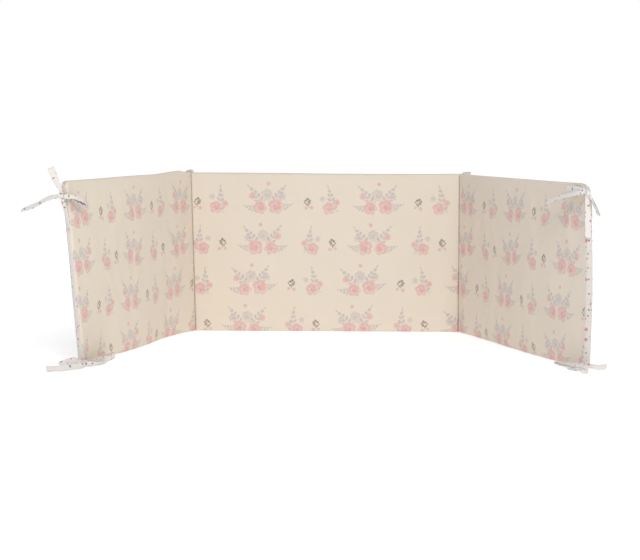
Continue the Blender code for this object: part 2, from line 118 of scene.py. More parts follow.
def panel_frame(panel, level):
    """The start, direction, length and inner normal of a panel, read from left to right."""
    left = fold_point(LEFT_FOLD, level)
    right = fold_point(RIGHT_FOLD, level)
    if panel == "left":
        along = -outward(LEFT_FOLD, level)
        start, length = left - along * PANEL_LENGTH, PANEL_LENGTH
    elif panel == "centre":
        start, along, length = left, (right - left).normalized(), (right - left).length
    else:
        start, along, length = right, outward(RIGHT_FOLD, level), PANEL_LENGTH
    return start, along, length, along.cross(UP)


def bow(panel, share, level):
    """How far the middle of a panel stands off its plane, towards its inner face."""
    total = 0.0
    for wave in PANEL_WAVES[panel]:
        climb = math.cos(math.pi * wave.upward * (level / HEIGHT - 0.5) + wave.lean)
        total += wave.depth * math.sin(math.pi * wave.along * share) * climb
    return total


def lift(panel, share):
    """How far the top edge stands above or below its even height."""
    rise = -DRAW_IN * math.sin(math.pi * share)
    for hump in TOP_HUMPS[panel]:
        rise += hump.height * math.exp(-((share - hump.at) / hump.reach) ** 2)
    return rise * min(1.0, share / LEVEL_SHARE, (1.0 - share) / LEVEL_SHARE)


def quarter(steps, first=0):
    """Angles that turn from a seam onto a face."""
    return [0.5 * math.pi * k / steps for k in range(first, steps + 1)]


def rounded(radius, edge_half, turns):
    """(distance from an edge, half thickness) pairs that round from the edge onto a face."""
    return [
        (radius * (1.0 - math.cos(turn)), edge_half + (EDGE_HALF - edge_half) * math.sin(turn))
        for turn in turns
    ]


def end_profile(panel):
    """(distance from an outer end, half thickness) pairs, from the sewn seam onto the face."""
    seam = [(-SEAM_RIDGE, 0.0), (-SEAM_RISE * SEAM_RIDGE, END_SEAM_MOST * SEAM_HALF)]
    step = (CORNER_ROUND[panel] - SEAM_ROUND) / CORNER_STEPS
    corner = [(SEAM_ROUND + step * k, EDGE_HALF) for k in range(1, CORNER_STEPS + 1)]
    return seam + rounded(SEAM_ROUND, SEAM_HALF, quarter(END_STEPS)) + corner


def inner_fold_profile(half_angle):
    """(distance from the stitching, half thickness) pairs on the inner side of a fold."""
    sine, cosine = math.sin(half_angle), math.cos(half_angle)
    centre_up = EDGE_HALF - INNER_ROUND
    centre_along = (SLOT_HALF + INNER_ROUND + centre_up * cosine) / sine
    turns = [half_angle * k / (FOLD_STEPS - 2) for k in range(FOLD_STEPS - 1)]
    face = [
        (centre_along - INNER_ROUND * math.sin(turn), centre_up + INNER_ROUND * math.cos(turn))
        for turn in reversed(turns)
    ]
    depth = STITCH_HALF + SLOT_HALF
    wall = (depth * cosine + SLOT_HALF * sine, depth * sine - SLOT_HALF * cosine)
    return [wall] + face


def outer_fold_profile():
    """The same on the outer side, where the fold opens."""
    return rounded(OUTER_ROUND, STITCH_HALF, quarter(FOLD_STEPS, first=1))


def mirrored(profile, length):
    return [(length - along, half) for along, half in reversed(profile)]


def panel_stations(panel, length, fold_angle, inner):
    """All (distance from the panel's start, half thickness) pairs of one face."""
    fold = inner_fold_profile(fold_angle) if inner else outer_fold_profile()
    start = end_profile("left") if panel == "left" else fold
    end = mirrored(end_profile("right") if panel == "right" else fold, length)
    first, last = start[-1][0], end[0][0]
    flat = [
        (first + (last - first) * k / (SPAN_STEPS + 1), EDGE_HALF) for k in range(1, SPAN_STEPS + 1)
    ]
    return start + flat + end


def rounding(distance, radius, edge_half):
    """How much of its full thickness the pad has this far from an edge that it rounds into."""
    turn = math.acos(1.0 - min(distance, radius) / radius)
    return edge_half / EDGE_HALF + (1.0 - edge_half / EDGE_HALF) * math.sin(turn)


def thinning(level):
    """The same at a height: less at the foot and at the top seam."""
    foot = rounding(level, FOOT_ROUND, FOOT_HALF)
    return min(foot, rounding(HEIGHT - level, SEAM_ROUND, SEAM_HALF))


def swell(share):
    """Rises from 0 at a panel's edge to 1 over its middle."""
    return 1.0 - (2.0 * share - 1.0) ** SWELL_POWER


def corner_drop(panel, along, level):
    """How much lower a point is for the round top corner of its panel's outer end."""
    if panel == "centre":
        return 0.0
    radius = CORNER_ROUND[panel]
    from_end = along if panel == "left" else PANEL_LENGTH - along
    reach = radius - min(radius, max(0.0, from_end))
    drop = radius - math.sqrt(radius ** 2 - reach ** 2)
    return CORNER_SQUASH * drop * (level / HEIGHT) ** CORNER_POWER


def fold_side_normal(fold, level):
    return panel_frame("left" if fold.side < 0 else "right", level)[3]


# A level of the pad's section: its height, the most of its thickness, and how much higher it is
Rung = namedtuple("Rung", "level most rise")


def pad_rungs():
    """The levels from the middle of the foot, up a face, to the sewn seam along the top."""
    foot = [FOOT_ROUND * (1.0 - math.cos(turn)) for turn in quarter(EDGE_STEPS)]
    seam = [HEIGHT - SEAM_ROUND * (1.0 - math.cos(turn)) for turn in reversed(quarter(EDGE_STEPS))]
    gap = (seam[0] - foot[-1]) / (RISE_STEPS + 1)
    face = foot[1:] + [foot[-1] + gap * k for k in range(1, RISE_STEPS + 1)] + seam
    foot_part = Rung(0.0, FOOT_MOST, FOOT_PART_RISE * FOOT_RISE)
    under = [Rung(0.0, 0.0, 0.0), foot_part, Rung(0.0, 1.0, FOOT_RISE)]
    over = [Rung(HEIGHT, SEAM_MOST, SEAM_RISE * SEAM_RIDGE), Rung(HEIGHT, 0.0, SEAM_RIDGE)]
    return under + [Rung(level, 1.0, 0.0) for level in face] + over


def pad_row(rung, inner):
    """The points of one face at one level, from the left outer end to the right one."""
    level = rung.level
    thin = min(thinning(level), rung.most)
    side = 1.0 if inner else -1.0
    row = []
    for panel, fold in (("left", LEFT_FOLD), ("centre", LEFT_FOLD), ("right", RIGHT_FOLD)):
        start, direction, length, normal = panel_frame(panel, level)
        half_angle = 0.5 * (0.5 * math.pi + splay(fold, level))
        for along, half in panel_stations(panel, length, half_angle, inner):
            share = min(1.0, max(0.0, along / length))
            crown = CROWN * swell(share) * swell(level / HEIGHT)
            off = bow(panel, share, level) + side * (half + crown) * thin
            point = start + direction * along + normal * off
            point.z = level + rung.rise + lift(panel, share) * (level / HEIGHT) ** HUMP_POWER
            point.z -= corner_drop(panel, along, level)
            row.append(point)
        if panel != "right":
            at = LEFT_FOLD if panel == "left" else RIGHT_FOLD
            inward = (panel_frame("centre", level)[3] + fold_side_normal(at, level)).normalized()
            stitch = fold_point(at, level) + inward * (side * STITCH_HALF * thin)
            stitch.z += rung.rise
            row.append(stitch)
    return row


def pad_grid(inner):
    """One face of the pad as an array of points, levels by stations."""
    return np.array([[tuple(p) for p in pad_row(rung, inner)] for rung in pad_rungs()])


def column_starts():
    """The station numbers of the two lines of stitching, and the number of stations."""
    end = len(end_profile("left"))
    panel = SPAN_STEPS + FOLD_STEPS
    first = end + panel
    second = first + 1 + FOLD_STEPS + panel
    return first, second, second + 1 + panel + end


def new_object(name, data):
    made = bpy.data.objects.new(name, data)
    bpy.context.scene.collection.objects.link(made)
    return made


def arc(points):
    """Distances along a line of points from its start."""
    return np.concatenate([[0.0], np.cumsum(np.linalg.norm(np.diff(points, axis=0), axis=1))])


# ---------------------------------------------------------------- the pad's cloth

SIM_GROWTH = 0.007          # how much larger each cloth is cut than the wadding it covers
SIM_SETTINGS = {
    "quality": 6, "mass": 0.25, "tension_stiffness": 18.0, "compression_stiffness": 18.0,
    "shear_stiffness": 6.0, "bending_stiffness": 3.0, "shrink_min": -SIM_GROWTH,
    "pin_stiffness": 0.5, "use_pressure": True, "uniform_pressure_force": 0.6,
}
SIM_FRAMES = 24
SIM_SEED = 7
SIM_HOLD = 0.30             # how firmly the wadding holds the cloth
SIM_UNEVEN = 0.35           # and how much that changes from place to place
HOLD_LEAST, HOLD_MOST = 0.02, 0.95
HOLD_PATCHES = (0.23, 0.11, 0.06)   # sizes of the firmer and looser places in the wadding
SIM_SHARE = 0.42            # how much of its way the cloth is let settle
SIM_CAP = 0.0030            # furthest that a point of the cloth may settle away from the wadding
PIN_REACH = 0.004           # cloth this near a seam or a line of stitching is held fast
EASE_REACH = 0.030          # and from there on it comes free

PUCKER_DEPTH = 0.00055
PUCKER_REACH = 0.016        # how far from a seam the puckers die away
PUCKER_LENGTHS = (0.031, 0.019, 0.0127)
PUCKER_START = (0.002, 0.009)   # where beside a seam they begin, and are full
STITCH_LINE = 0.0095        # how far the hem stitching is from the foot's middle and the top seam
STITCH_DEPTH = 0.0005
STITCH_WIDTH = 0.0016
CREASE_SWAY = 0.0007        # how far the cloth sways beside a fold
CREASE_START = (0.001, 0.008)
TOP_PUCKER, FOOT_PUCKER = 1.0, 0.8
DRESSING_SEEDS = {True: 5, False: 40}


def quad_corners(grid, flipped):
    """The four corners of every face of a grid, counted the other way round where it is flipped."""
    corners = [grid[:-1, :-1], grid[:-1, 1:], grid[1:, 1:], grid[1:, :-1]]
    return np.stack(corners[::-1] if flipped else corners, axis=-1)


def closed_faces(rows, columns):
    """Quads of an inner and an outer grid that share their border, and the vertex numbers."""
    inner = np.arange(rows * columns).reshape(rows, columns)
    outer = inner.copy()
    count = (rows - 2) * (columns - 2)
    outer[1:-1, 1:-1] = rows * columns + np.arange(count).reshape(rows - 2, columns - 2)
    quads = [quad_corners(inner, False), quad_corners(outer, True)]
    return np.concatenate([quad.reshape(-1, 4) for quad in quads]), inner, outer


def closed_points(inner, outer):
    return np.concatenate([inner.reshape(-1, 3), outer[1:-1, 1:-1].reshape(-1, 3)])


def edge_distance(line_u, line_v, lines):
    """How far each point of a grid is from the border and the lines of stitching."""
    across = np.min([np.abs(line_u - line_u[k]) for k in lines], axis=0)
    upright = np.minimum(line_v - line_v[0], line_v[-1] - line_v)
    return np.minimum(across[None, :], upright[:, None])


def smooth_step(value, low, high):
    share = np.clip((value - low) / (high - low), 0.0, 1.0)
    return share * share * (3.0 - 2.0 * share)


def patchy(line_u, line_v, chance):
    """An uneven value over a face, between about -1 and 1."""
    place_u, place_v = np.meshgrid(line_u, line_v)
    total = np.zeros_like(place_u)
    for size in HOLD_PATCHES:
        first, second, third = chance.uniform(0.0, math.tau, 3)
        turn = chance.uniform(0.0, math.pi)
        along = math.tau / size * (place_u * math.cos(turn) + place_v * math.sin(turn))
        aside = math.tau / size * (place_v * math.cos(turn) - place_u * math.sin(turn))
        wave = np.sin(along + first + 1.5 * np.sin(aside / 1.7 + second))
        total += wave * np.sin(aside / 1.3 + third)
    return total / len(HOLD_PATCHES)


def settle(inner, outer, free, firmness):
    """How far the cover moves when it settles as cloth that is a little too large for its wadding.

    free is 0 where the cloth is sewn and 1 where only the wadding holds it, and firmness says how
    well the wadding holds it there.
    """
    quads, inner_ids, outer_ids = closed_faces(*inner.shape[:2])
    points = closed_points(inner, outer)
    data = bpy.data.meshes.new("settling")
    data.from_pydata(points.tolist(), [], quads.tolist())
    cover = new_object("settling", data)
    held = cover.vertex_groups.new(name="held")
    pinned = [1.0 - (1.0 - firm) * free for firm in firmness]
    for k, share in enumerate(np.concatenate([pinned[0].ravel(), pinned[1][1:-1, 1:-1].ravel()])):
        held.add([k], float(share), "REPLACE")
    cloth = cover.modifiers.new("cloth", "CLOTH")
    for name, value in SIM_SETTINGS.items():
        setattr(cloth.settings, name, value)
    cloth.settings.vertex_group_mass = "held"
    cloth.settings.effector_weights.gravity = 0.0
    cloth.collision_settings.use_self_collision = False
    cloth.collision_settings.use_collision = False
    cloth.point_cache.frame_start, cloth.point_cache.frame_end = 1, SIM_FRAMES
    scene = bpy.context.scene
    for frame_number in range(1, SIM_FRAMES + 1):
        scene.frame_set(frame_number)
    settled = cover.evaluated_get(bpy.context.evaluated_depsgraph_get()).to_mesh()
    moved = np.empty(len(points) * 3)
    settled.vertices.foreach_get("co", moved)
    bpy.data.objects.remove(cover)
    scene.frame_set(1)
    step = SIM_SHARE * (moved.reshape(-1, 3) - points)
    length = np.linalg.norm(step, axis=1, keepdims=True)
    step *= SIM_CAP * np.tanh(length / SIM_CAP) / np.maximum(length, 1e-9)
    return step[inner_ids] * free[..., None], step[outer_ids] * free[..., None]


def finer(grid):
    """A grid with a smoothly placed row and column added between every two."""
    for axis in (0, 1):
        grid = np.swapaxes(grid, 0, axis)
        made = np.empty((2 * len(grid) - 1,) + grid.shape[1:])
        made[::2] = grid
        padded = np.concatenate([grid[:1], grid, grid[-1:]])
        made[1::2] = (9.0 * (padded[1:-2] + padded[2:-1]) - padded[:-3] - padded[3:]) / 16.0
        grid = np.swapaxes(made, 0, axis)
    return grid


def grid_normals(grid, side):
    along = np.gradient(grid, axis=1)
    upward = np.gradient(grid, axis=0)
    normal = side * np.cross(along, upward)
    return normal / np.maximum(np.linalg.norm(normal, axis=2, keepdims=True), 1e-12)


def puckers(line, seed):
    """Small uneven waves along a seam."""
    chance = np.random.default_rng(seed)
    total = np.zeros_like(line)
    for length in PUCKER_LENGTHS:
        slow = 1.0 + 0.5 * np.sin(math.tau * line / (length * 7.3) + chance.uniform(0, 6.28))
        drift = 1.4 * np.sin(math.tau * line / (length * 5.1) + chance.uniform(0, 6.28))
        total += slow * np.sin(math.tau * line / length + drift + chance.uniform(0, 6.28))
    return total / len(PUCKER_LENGTHS)


def dressing(line_u, line_v, lines, seed):
    """How far sewing presses a face in or lets it out: puckers, stitched grooves, swaying folds."""
    below_top, above_foot = line_v[-1] - line_v, line_v - line_v[0]
    total = np.zeros((len(line_v), len(line_u)))
    for k, (distance, depth) in enumerate(((below_top, TOP_PUCKER), (above_foot, FOOT_PUCKER))):
        fade = np.exp(-((distance / PUCKER_REACH) ** 2)) * smooth_step(distance, *PUCKER_START)
        total += depth * PUCKER_DEPTH * fade[:, None] * puckers(line_u, seed + k)[None, :]
        groove = np.exp(-(((distance - STITCH_LINE) / STITCH_WIDTH) ** 2))
        total -= STITCH_DEPTH * groove[:, None]
    for k, at in enumerate(lines):
        from_line = np.abs(line_u - line_u[at])
        fade = np.exp(-((from_line / PUCKER_REACH) ** 2)) * smooth_step(from_line, *CREASE_START)
        total += CREASE_SWAY * fade[None, :] * puckers(line_v, seed + 10 + k)[:, None]
    return total


BAKE_GAP = 0.006            # room between two panels in the sheet that the looks are baked on
BAKE_WIDTH, BAKE_HEIGHT = 0.640, 0.380
# How many columns of faces the outer cloth covers on the inner side of each outer end
LEFT_WRAP, RIGHT_WRAP = 3, END_STEPS + 2


def settled(faces, lines_u, lines_v, stitched):
    """The pad's two faces with their cloth settled, which is worked out on every other point."""
    distance = edge_distance(lines_u[True], lines_v[True], stitched)
    free = smooth_step(distance, PIN_REACH, EASE_REACH)[::2, ::2]
    chance = np.random.default_rng(SIM_SEED)
    firmness = []
    for key in (True, False):
        firm = SIM_HOLD + SIM_UNEVEN * patchy(lines_u[key][::2], lines_v[key][::2], chance)
        firmness.append(np.clip(firm, HOLD_LEAST, HOLD_MOST))
    moves = settle(faces[True][::2, ::2], faces[False][::2, ::2], free, firmness)
    return {key: faces[key] + finer(move) for key, move in zip((True, False), moves)}


def face_maps(u, v, folds, inner):
    """A face's UVs on the cloth and on the baked sheet, and which cloth each quad has."""
    flat_u, flat_v = [quad_corners(place, not inner) for place in np.meshgrid(u, v)]
    column = np.meshgrid(np.arange(len(u) - 1), np.arange(len(v) - 1))[0]
    panel = sum((column >= fold).astype(int) for fold in folds)
    starts = np.array([u[0]] + [u[fold] for fold in folds])[panel]
    baked_u = flat_u - starts[..., None] + BAKE_GAP + (0.0 if inner else BAKE_WIDTH)
    baked_v = flat_v + BAKE_GAP + panel[..., None] * BAKE_HEIGHT
    wrapped = (column < LEFT_WRAP) | (column >= len(u) - 1 - RIGHT_WRAP)
    return (
        np.stack([flat_u, flat_v], axis=-1).reshape(-1, 2),
        np.stack([baked_u, baked_v], axis=-1).reshape(-1, 2) / (2.0 * BAKE_WIDTH),
        np.where(wrapped, 1, 0 if inner else 1).ravel(),
    )


def make_pad(printed, dotted):
    """The padded cover: printed inside, dotted outside and round its outer ends."""
    first, second, columns = column_starts()
    faces = {inner: pad_grid(inner) for inner in (True, False)}
    rows = len(faces[True])
    lines_u = {key: arc(grid[rows // 2]) for key, grid in faces.items()}
    lines_v = {key: arc(grid[:, (first + second) // 2]) for key, grid in faces.items()}
    faces = settled(faces, lines_u, lines_v, (0, first, second, columns - 1))
    maps = []
    for inner, side in ((True, 1.0), (False, -1.0)):
        u, v = lines_u[inner], lines_v[inner]
        depth = dressing(u, v, (first, second), DRESSING_SEEDS[inner])
        faces[inner] = faces[inner] + depth[..., None] * grid_normals(faces[inner], side)
        maps.append(face_maps(u - 0.5 * (u[first] + u[second]), v, (first, second), inner))

    data = bpy.data.meshes.new("pad_cover")
    quads = closed_faces(rows, columns)[0]
    data.from_pydata(closed_points(faces[True], faces[False]).tolist(), [], quads.tolist())
    cover = new_object("pad_cover", data)
    cloth_map, bake_map, cloths = [np.concatenate(parts) for parts in zip(*maps)]
    for name, values in (("cloth", cloth_map), ("OFBake", bake_map)):
        data.uv_layers.new(name=name).data.foreach_set("uv", values.ravel())
    data.materials.append(printed)
    data.materials.append(dotted)
    data.polygons.foreach_set("material_index", cloths.astype(np.int32))
    data.shade_smooth()
    data.update()
    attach(cover, "root")
    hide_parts("bumper_pad")


# ---------------------------------------------------------------- tape ties

TAPE_WIDTH = 0.012
TAPE_HALF = 0.0006          # half the tape's thickness
HEM_HALF = 0.00075          # and at its folded, stitched edges
HEM_START = 0.75            # where across its half width they begin
TAPE_STEP = 0.0016
FEWEST_STEPS = 6
LOWEST = 0.0002             # the least height of a tape that lies on the surface
LOOP_GAP_KNOT = 0.0016      # between the middles of a loop's two layers, at the knot
LOOP_GAP = 4.8              # and further out, in millimetres, where an arm gives no other gap
LOOP_OPENING = 0.6          # how much of a loop's length it takes to open to its gap
TIP_STEPS = 7
KNOT_OVERRUN = 0.0016
TWIST_REACH = 0.02          # the tape's own twist grows over this way from the knot
TWISTS = ((4.0, 0.019), (2.5, 0.0083))  # its degrees, and the length over which they change
CRUMPLE = 0.00035
CRUMPLE_LENGTHS = (0.0057, 0.0131)
PLEAT_DEPTH = 0.0007        # how deep the tape pleats where the knot draws it together
PLEAT_REACH = 0.014
BAND_PLEAT = 0.55 * PLEAT_DEPTH
CUP_DEPTH = 0.0005
CUP_LENGTH = 0.021
BAND_RADII = (0.0070, 0.0060)   # of the band that wraps the knot, level and upright
BAND_HALF_WIDTH = 0.0042
BAND_STEPS = 36
BAND_TILT = 20.0            # the most that the band leans, in degrees
CORE_SIZE = Vector((0.0060, 0.0050, 0.0050))    # half sizes: aside, along the band's axis, upright
CORE_SIDES, CORE_RINGS = 28, 16
CREASE_DEPTH = 0.07
UV_SPREAD = 5.0             # each arm's print starts anywhere in this many metres of tape
TIE_SEED = 100

# A bend of a tape in the frame of its corner, in millimetres: past the outer end, in front of the
# pad's middle, height, the tape's width there, and the lean of its width in degrees. Behind a
# fold, past runs along +X and front along -Y.
Bend = namedtuple("Bend", "past front up width lean")
# An arm of a tie: the direction that its width has without a lean, its bends after the knot (before
# it on a seam), how far apart a loop's layers lie, and its lean at the knot
Arm = namedtuple("Arm", "name wide bends gap lean")
ON_EDGE = (0.0, 0.0, 1.0)
FACING = (0.0, 1.0, 0.0)
SIDEWAYS = (1.0, 0.0, 0.0)
LEANING = (0.0, 0.45, 0.9)


def arm(name, wide, *rows, gap=LOOP_GAP, lean=0):
    return Arm(name, Vector(wide), [Bend(*row) for row in rows], gap, lean)


TOP_LEFT_ARMS = (
    arm("seam", ON_EDGE, (1.5, 0.5, 326, 12, 0), (4.6, -0.8, 326, 9, 0)),
    arm("loop_up", FACING, (8.6, -3.8, 334, 7, 15), (7.8, -9.4, 347, 10, 25),
        (7.2, -15.8, 360.5, 12.5, 25), (7.4, -20.2, 375, 12.5, 25), lean=12),
    arm("loop_right", ON_EDGE, (11, 6.9, 324, 8, 0), (5, 16.3, 322, 9, -20),
        (-12, 20.3, 317, 12, -35), (-27, 21.7, 311.5, 12, -40), (-32, 22, 309.6, 12, -40),
        gap=5.6),
    arm("tail_left", ON_EDGE, (10, -13.1, 323.5, 9, 30), (11, -25.1, 321, 11, 38),
        (12, -38.2, 316, 12, 40), (14, -55.3, 307.5, 12, 45), (16, -73.3, 300, 12, 52),
        (16.5, -86.3, 296.5, 12, 66), lean=10),
    arm("tail_down", FACING, (10, -0.7, 314, 8, 10), (9.4, 1.2, 302, 11, 30),
        (7.5, 2.6, 288, 12, 40), (7, 3.5, 275, 12, 40), (6.5, 4.3, 262, 12, 40)),
)

TOP_RIGHT_ARMS = (
    arm("seam", ON_EDGE, (1.6, 0, 328, 12, 0), (5, 3.5, 331, 10, 0)),
    arm("loop_inner", ON_EDGE, (4, 14, 338.5, 10, 0), (-14, 17.4, 341.5, 12, 0),
        (-36, 17.4, 342.5, 12, 0), (-52, 17.4, 341, 12, 0)),
    arm("loop_outer", SIDEWAYS, (11.5, 5.5, 329, 8, 6), (11.5, -1.5, 318, 11, 14),
        (11.5, -8, 306, 12, 14), (11.5, -13, 294, 12, 14), gap=2.2),
    arm("tail_inner", ON_EDGE, (2, 18, 335.5, 8, 20), (-18, 26, 332.5, 11, 35),
        (-43, 30.5, 327.5, 12, 40), (-75, 35.2, 320, 12, 40), (-102, 38.4, 312.5, 12, 38)),
    arm("tail_down", FACING, (8.5, 9, 324, 8, 0), (6.5, 7.8, 308, 11, 5), (5, 7, 290, 12, 10),
        (5, 7, 268, 12, 10), (5, 7.5, 250, 12, 10)),
)

BOTTOM_LEFT_ARMS = (
    arm("seam", ON_EDGE, (1.6, 0, 9.4, 12, 0), (5.5, 2, 9.3, 10, 0)),
    arm("loop_right", ON_EDGE, (6, 12, 8, 10, 0), (-8, 18, 6.8, 12, 0), (-36, 20, 6.6, 12, 0),
        (-80, 20, 6.6, 12, 0), (-112, 17.5, 6.6, 12, 0)),
    arm("loop_left", ON_EDGE, (21.5, -3, 13.5, 12, 0), (34, -11.5, 12, 12, 15),
        (45, -21.5, 7.6, 12, 35)),
    arm("tail_right", ON_EDGE, (8, 19, 7, 10, 30), (-12, 28, 4.5, 12, 55),
        (-34, 30.5, 3.8, 12, 62), (-56, 30, 3.6, 12, 62)),
    arm("tail_left", ON_EDGE, (19, 14, 7.5, 10, 20), (36, 13, 5.6, 12, 35), (57, 2, 5.4, 12, 36),
        (76, -8, 5.4, 12, 36), (82, -20, 5.4, 12, 36), (88, -31, 5.4, 12, 36)),
)

BOTTOM_RIGHT_ARMS = (
    arm("seam", ON_EDGE, (1.6, 0, 9.6, 12, 0), (12, 6, 9.4, 11, 0)),
    arm("loop_inner", ON_EDGE, (14, 25, 8, 11, 35), (-4, 31, 6.4, 12, 72), (-30, 31.5, 5, 12, 80),
        (-66, 31, 4, 12, 80), gap=2.4),
    arm("loop_front", ON_EDGE, (39, 24.5, 8, 11, 25), (55, 35, 5.8, 12, 55), (70, 43, 5.2, 12, 64),
        gap=2.4),
    arm("tail_inner", ON_EDGE, (31, 26, 5, 10, 45), (27, 35, 2.4, 12, 75), (14, 38, 1.6, 12, 86),
        (-2, 37, 1.4, 12, 88)),
    arm("tail_outer", ON_EDGE, (34, 5.9, 7.8, 10, 10), (37.5, -4.1, 6.3, 12, 20),
        (37, -13.1, 6.3, 12, 22), (35, -21.6, 6.3, 12, 22)),
)

LEFT_FOLD_ARMS = (
    arm("loop_over", LEANING, (-9, -12.8, 345, 9, 0), (-3, -13.4, 351.5, 12, 0),
        (6, -13, 352, 12, 0)),
    arm("loop_side", ON_EDGE, (-13.5, -3, 338.5, 9, 0), (-18.5, 11, 336.5, 12, 0),
        (-22, 26, 334, 12, 0)),
    arm("tail_right", SIDEWAYS, (-6, -13, 326, 9, 0), (-2, -14, 308, 12, 0), (3, -13, 282, 12, 0),
        (5, -12, 254, 12, 0)),
    arm("tail_left", FACING, (-12, -8, 325, 9, 0), (-16, -3, 306, 12, 0), (-17, 3, 280, 12, 0),
        (-17, 6, 262, 12, 0)),
)

RIGHT_FOLD_ARMS = (
    arm("loop_over", LEANING, (3, -13.2, 344.5, 9, 0), (9, -13.4, 350, 12, 0),
        (19, -12.8, 350, 12, 0)),
    arm("loop_side", ON_EDGE, (-5, -12.6, 337.5, 9, 0), (-16, -12.6, 335.5, 12, 0),
        (-31, -12.4, 334, 12, 0)),
    arm("tail_left", SIDEWAYS, (5, -13, 326, 9, 0), (0, -14, 306, 12, 0), (-4, -13, 280, 12, 0),
        (-5, -12, 258, 12, 0)),
    arm("tail_right", FACING, (12, -8, 325, 9, 0), (17, -3, 304, 12, 0), (18.5, 3, 276, 12, 0),
        (18.5, 6, 250, 12, 0)),
)

# A tie: the fold whose panel carries it, whether it is sewn to that panel's end, how its tape
# lies, the length that its tape was cut to, its knot, and its arms
Tie = namedtuple("Tie", "node fold at_end held cut knot arms")
TIES = [
    Tie(node, fold, at_end, held, cut, Bend(*knot, 0), arms)
    for node, fold, at_end, held, cut, knot, arms in (
        ("tie_top_left", LEFT_FOLD, True, "hung", 0.50, (9, -2.1, 325, 6), TOP_LEFT_ARMS),
        ("tie_top_right", RIGHT_FOLD, True, "hung", 0.55, (9, 9, 335, 6), TOP_RIGHT_ARMS),
        ("tie_bottom_left", LEFT_FOLD, True, "laid", 0.65, (11.5, 4, 9, 8), BOTTOM_LEFT_ARMS),
        ("tie_bottom_right", RIGHT_FOLD, True, "laid", 0.55, (26, 15.9, 9, 8), BOTTOM_RIGHT_ARMS),
        ("tie_fold_left", LEFT_FOLD, False, "hung", 0.40, (-7, -10, 338, 7), LEFT_FOLD_ARMS),
        ("tie_fold_right", RIGHT_FOLD, False, "hung", 0.40, (4, -11.5, 338, 7), RIGHT_FOLD_ARMS),
    )
]


def tie_frame(tie, level):
    """The point a tie's bends are measured from at a height, and its past and front directions."""
    if not tie.at_end:
        return fold_point(tie.fold, level), Vector((1.0, 0.0, 0.0)), Vector((0.0, -1.0, 0.0))
    past = outward(tie.fold, level)
    end = fold_point(tie.fold, level) + past * PANEL_LENGTH
    return end, past, fold_side_normal(tie.fold, level)


def bend_point(tie, bend):
    level = bend.up * MM
    origin, past, front = tie_frame(tie, level)
    return origin + past * bend.past * MM + front * bend.front * MM


def smooth(values, share):
    """A value read from a smooth curve through evenly numbered ones."""
    place = share * (len(values) - 1)
    k = min(int(place), len(values) - 2)
    t = place - k
    before, here, after = values[max(k - 1, 0)], values[k], values[k + 1]
    beyond = values[min(k + 2, len(values) - 1)]
    return 0.5 * (
        2.0 * here
        + (after - before) * t
        + (2.0 * before - 5.0 * here + 4.0 * after - beyond) * t ** 2
        + (3.0 * here - before - 3.0 * after + beyond) * t ** 3
    )


# A place along a tape: its middle, the direction it runs, the direction its width runs, half its
# width, and how far it has come from the knot
Place = namedtuple("Place", "point tangent across half reach")


def arm_line(tie, tape_arm, chance):
    """Places along an arm, at even steps from the knot."""
    knot = [tie.knot._replace(lean=tape_arm.lean)]
    bends = tape_arm.bends + knot if tape_arm.name == "seam" else knot + tape_arm.bends
    points = [bend_point(tie, bend) for bend in bends]
    inside, neighbour = (-1, -2) if tape_arm.name == "seam" else (0, 1)
    points[inside] += (points[inside] - points[neighbour]).normalized() * KNOT_OVERRUN
    length = sum((b - a).length for a, b in zip(points, points[1:]))
    steps = max(FEWEST_STEPS, round(length / TAPE_STEP))
    path = [smooth(points, k / steps) for k in range(steps + 1)]
    past, front = tie_frame(tie, bends[0].up * MM)[1:]
    wide = past * tape_arm.wide.x + front * tape_arm.wide.y + UP * tape_arm.wide.z
    starts = chance.uniform(0.0, math.tau, 2)
    line = []
    for k, point in enumerate(path):
        tangent = (path[min(k + 1, steps)] - path[max(k - 1, 0)]).normalized()
        across = (wide - tangent * wide.dot(tangent)).normalized()
        reach = length * k / steps
        sway = sum(
            most * math.sin(reach / run + start) for (most, run), start in zip(TWISTS, starts)
        )
        lean = smooth([bend.lean for bend in bends], k / steps)
        lean += sway * min(1.0, reach / TWIST_REACH)
        half = 0.5 * MM * smooth([bend.width for bend in bends], k / steps)
        across = Matrix.Rotation(math.radians(lean), 3, tangent) @ across
        line.append(Place(point, tangent, across, half, reach))
    return line


def looped(line, widest):
    """An arm's line doubled into a loop: out on one side, round its tip and back on the other."""
    length = line[-1].reach
    out, back = [], []
    for place in line:
        share = smooth_step(place.reach, 0.0, LOOP_OPENING * length)
        gap = LOOP_GAP_KNOT + (widest - LOOP_GAP_KNOT) * float(share)
        off = place.tangent.cross(place.across).normalized() * 0.5 * gap
        out.append(place._replace(point=place.point + off))
        back.append(place._replace(
            point=place.point - off, tangent=-place.tangent, reach=2.0 * length - place.reach
        ))
    last = line[-1]
    off = last.tangent.cross(last.across).normalized() * 0.5 * widest
    tip = []
    for k in range(1, TIP_STEPS):
        turn = math.pi * k / TIP_STEPS
        point = last.point + off * math.cos(turn) + last.tangent * off.length * math.sin(turn)
        tangent = last.tangent * math.cos(turn) - off.normalized() * math.sin(turn)
        tip.append(last._replace(point=point, tangent=tangent))
    return out + tip + back[::-1]


# The tape's cross-section: places across it, as shares of half its width, and how thick it is
HALF_CROSS = ((0.45, 0.86), (0.70, 0.72), (0.80, 1.0), (0.93, 1.0), (1.0, 0.35))
CROSS = tuple((-share, thick) for share, thick in HALF_CROSS[::-1]) + ((0.0, 0.9),) + HALF_CROSS


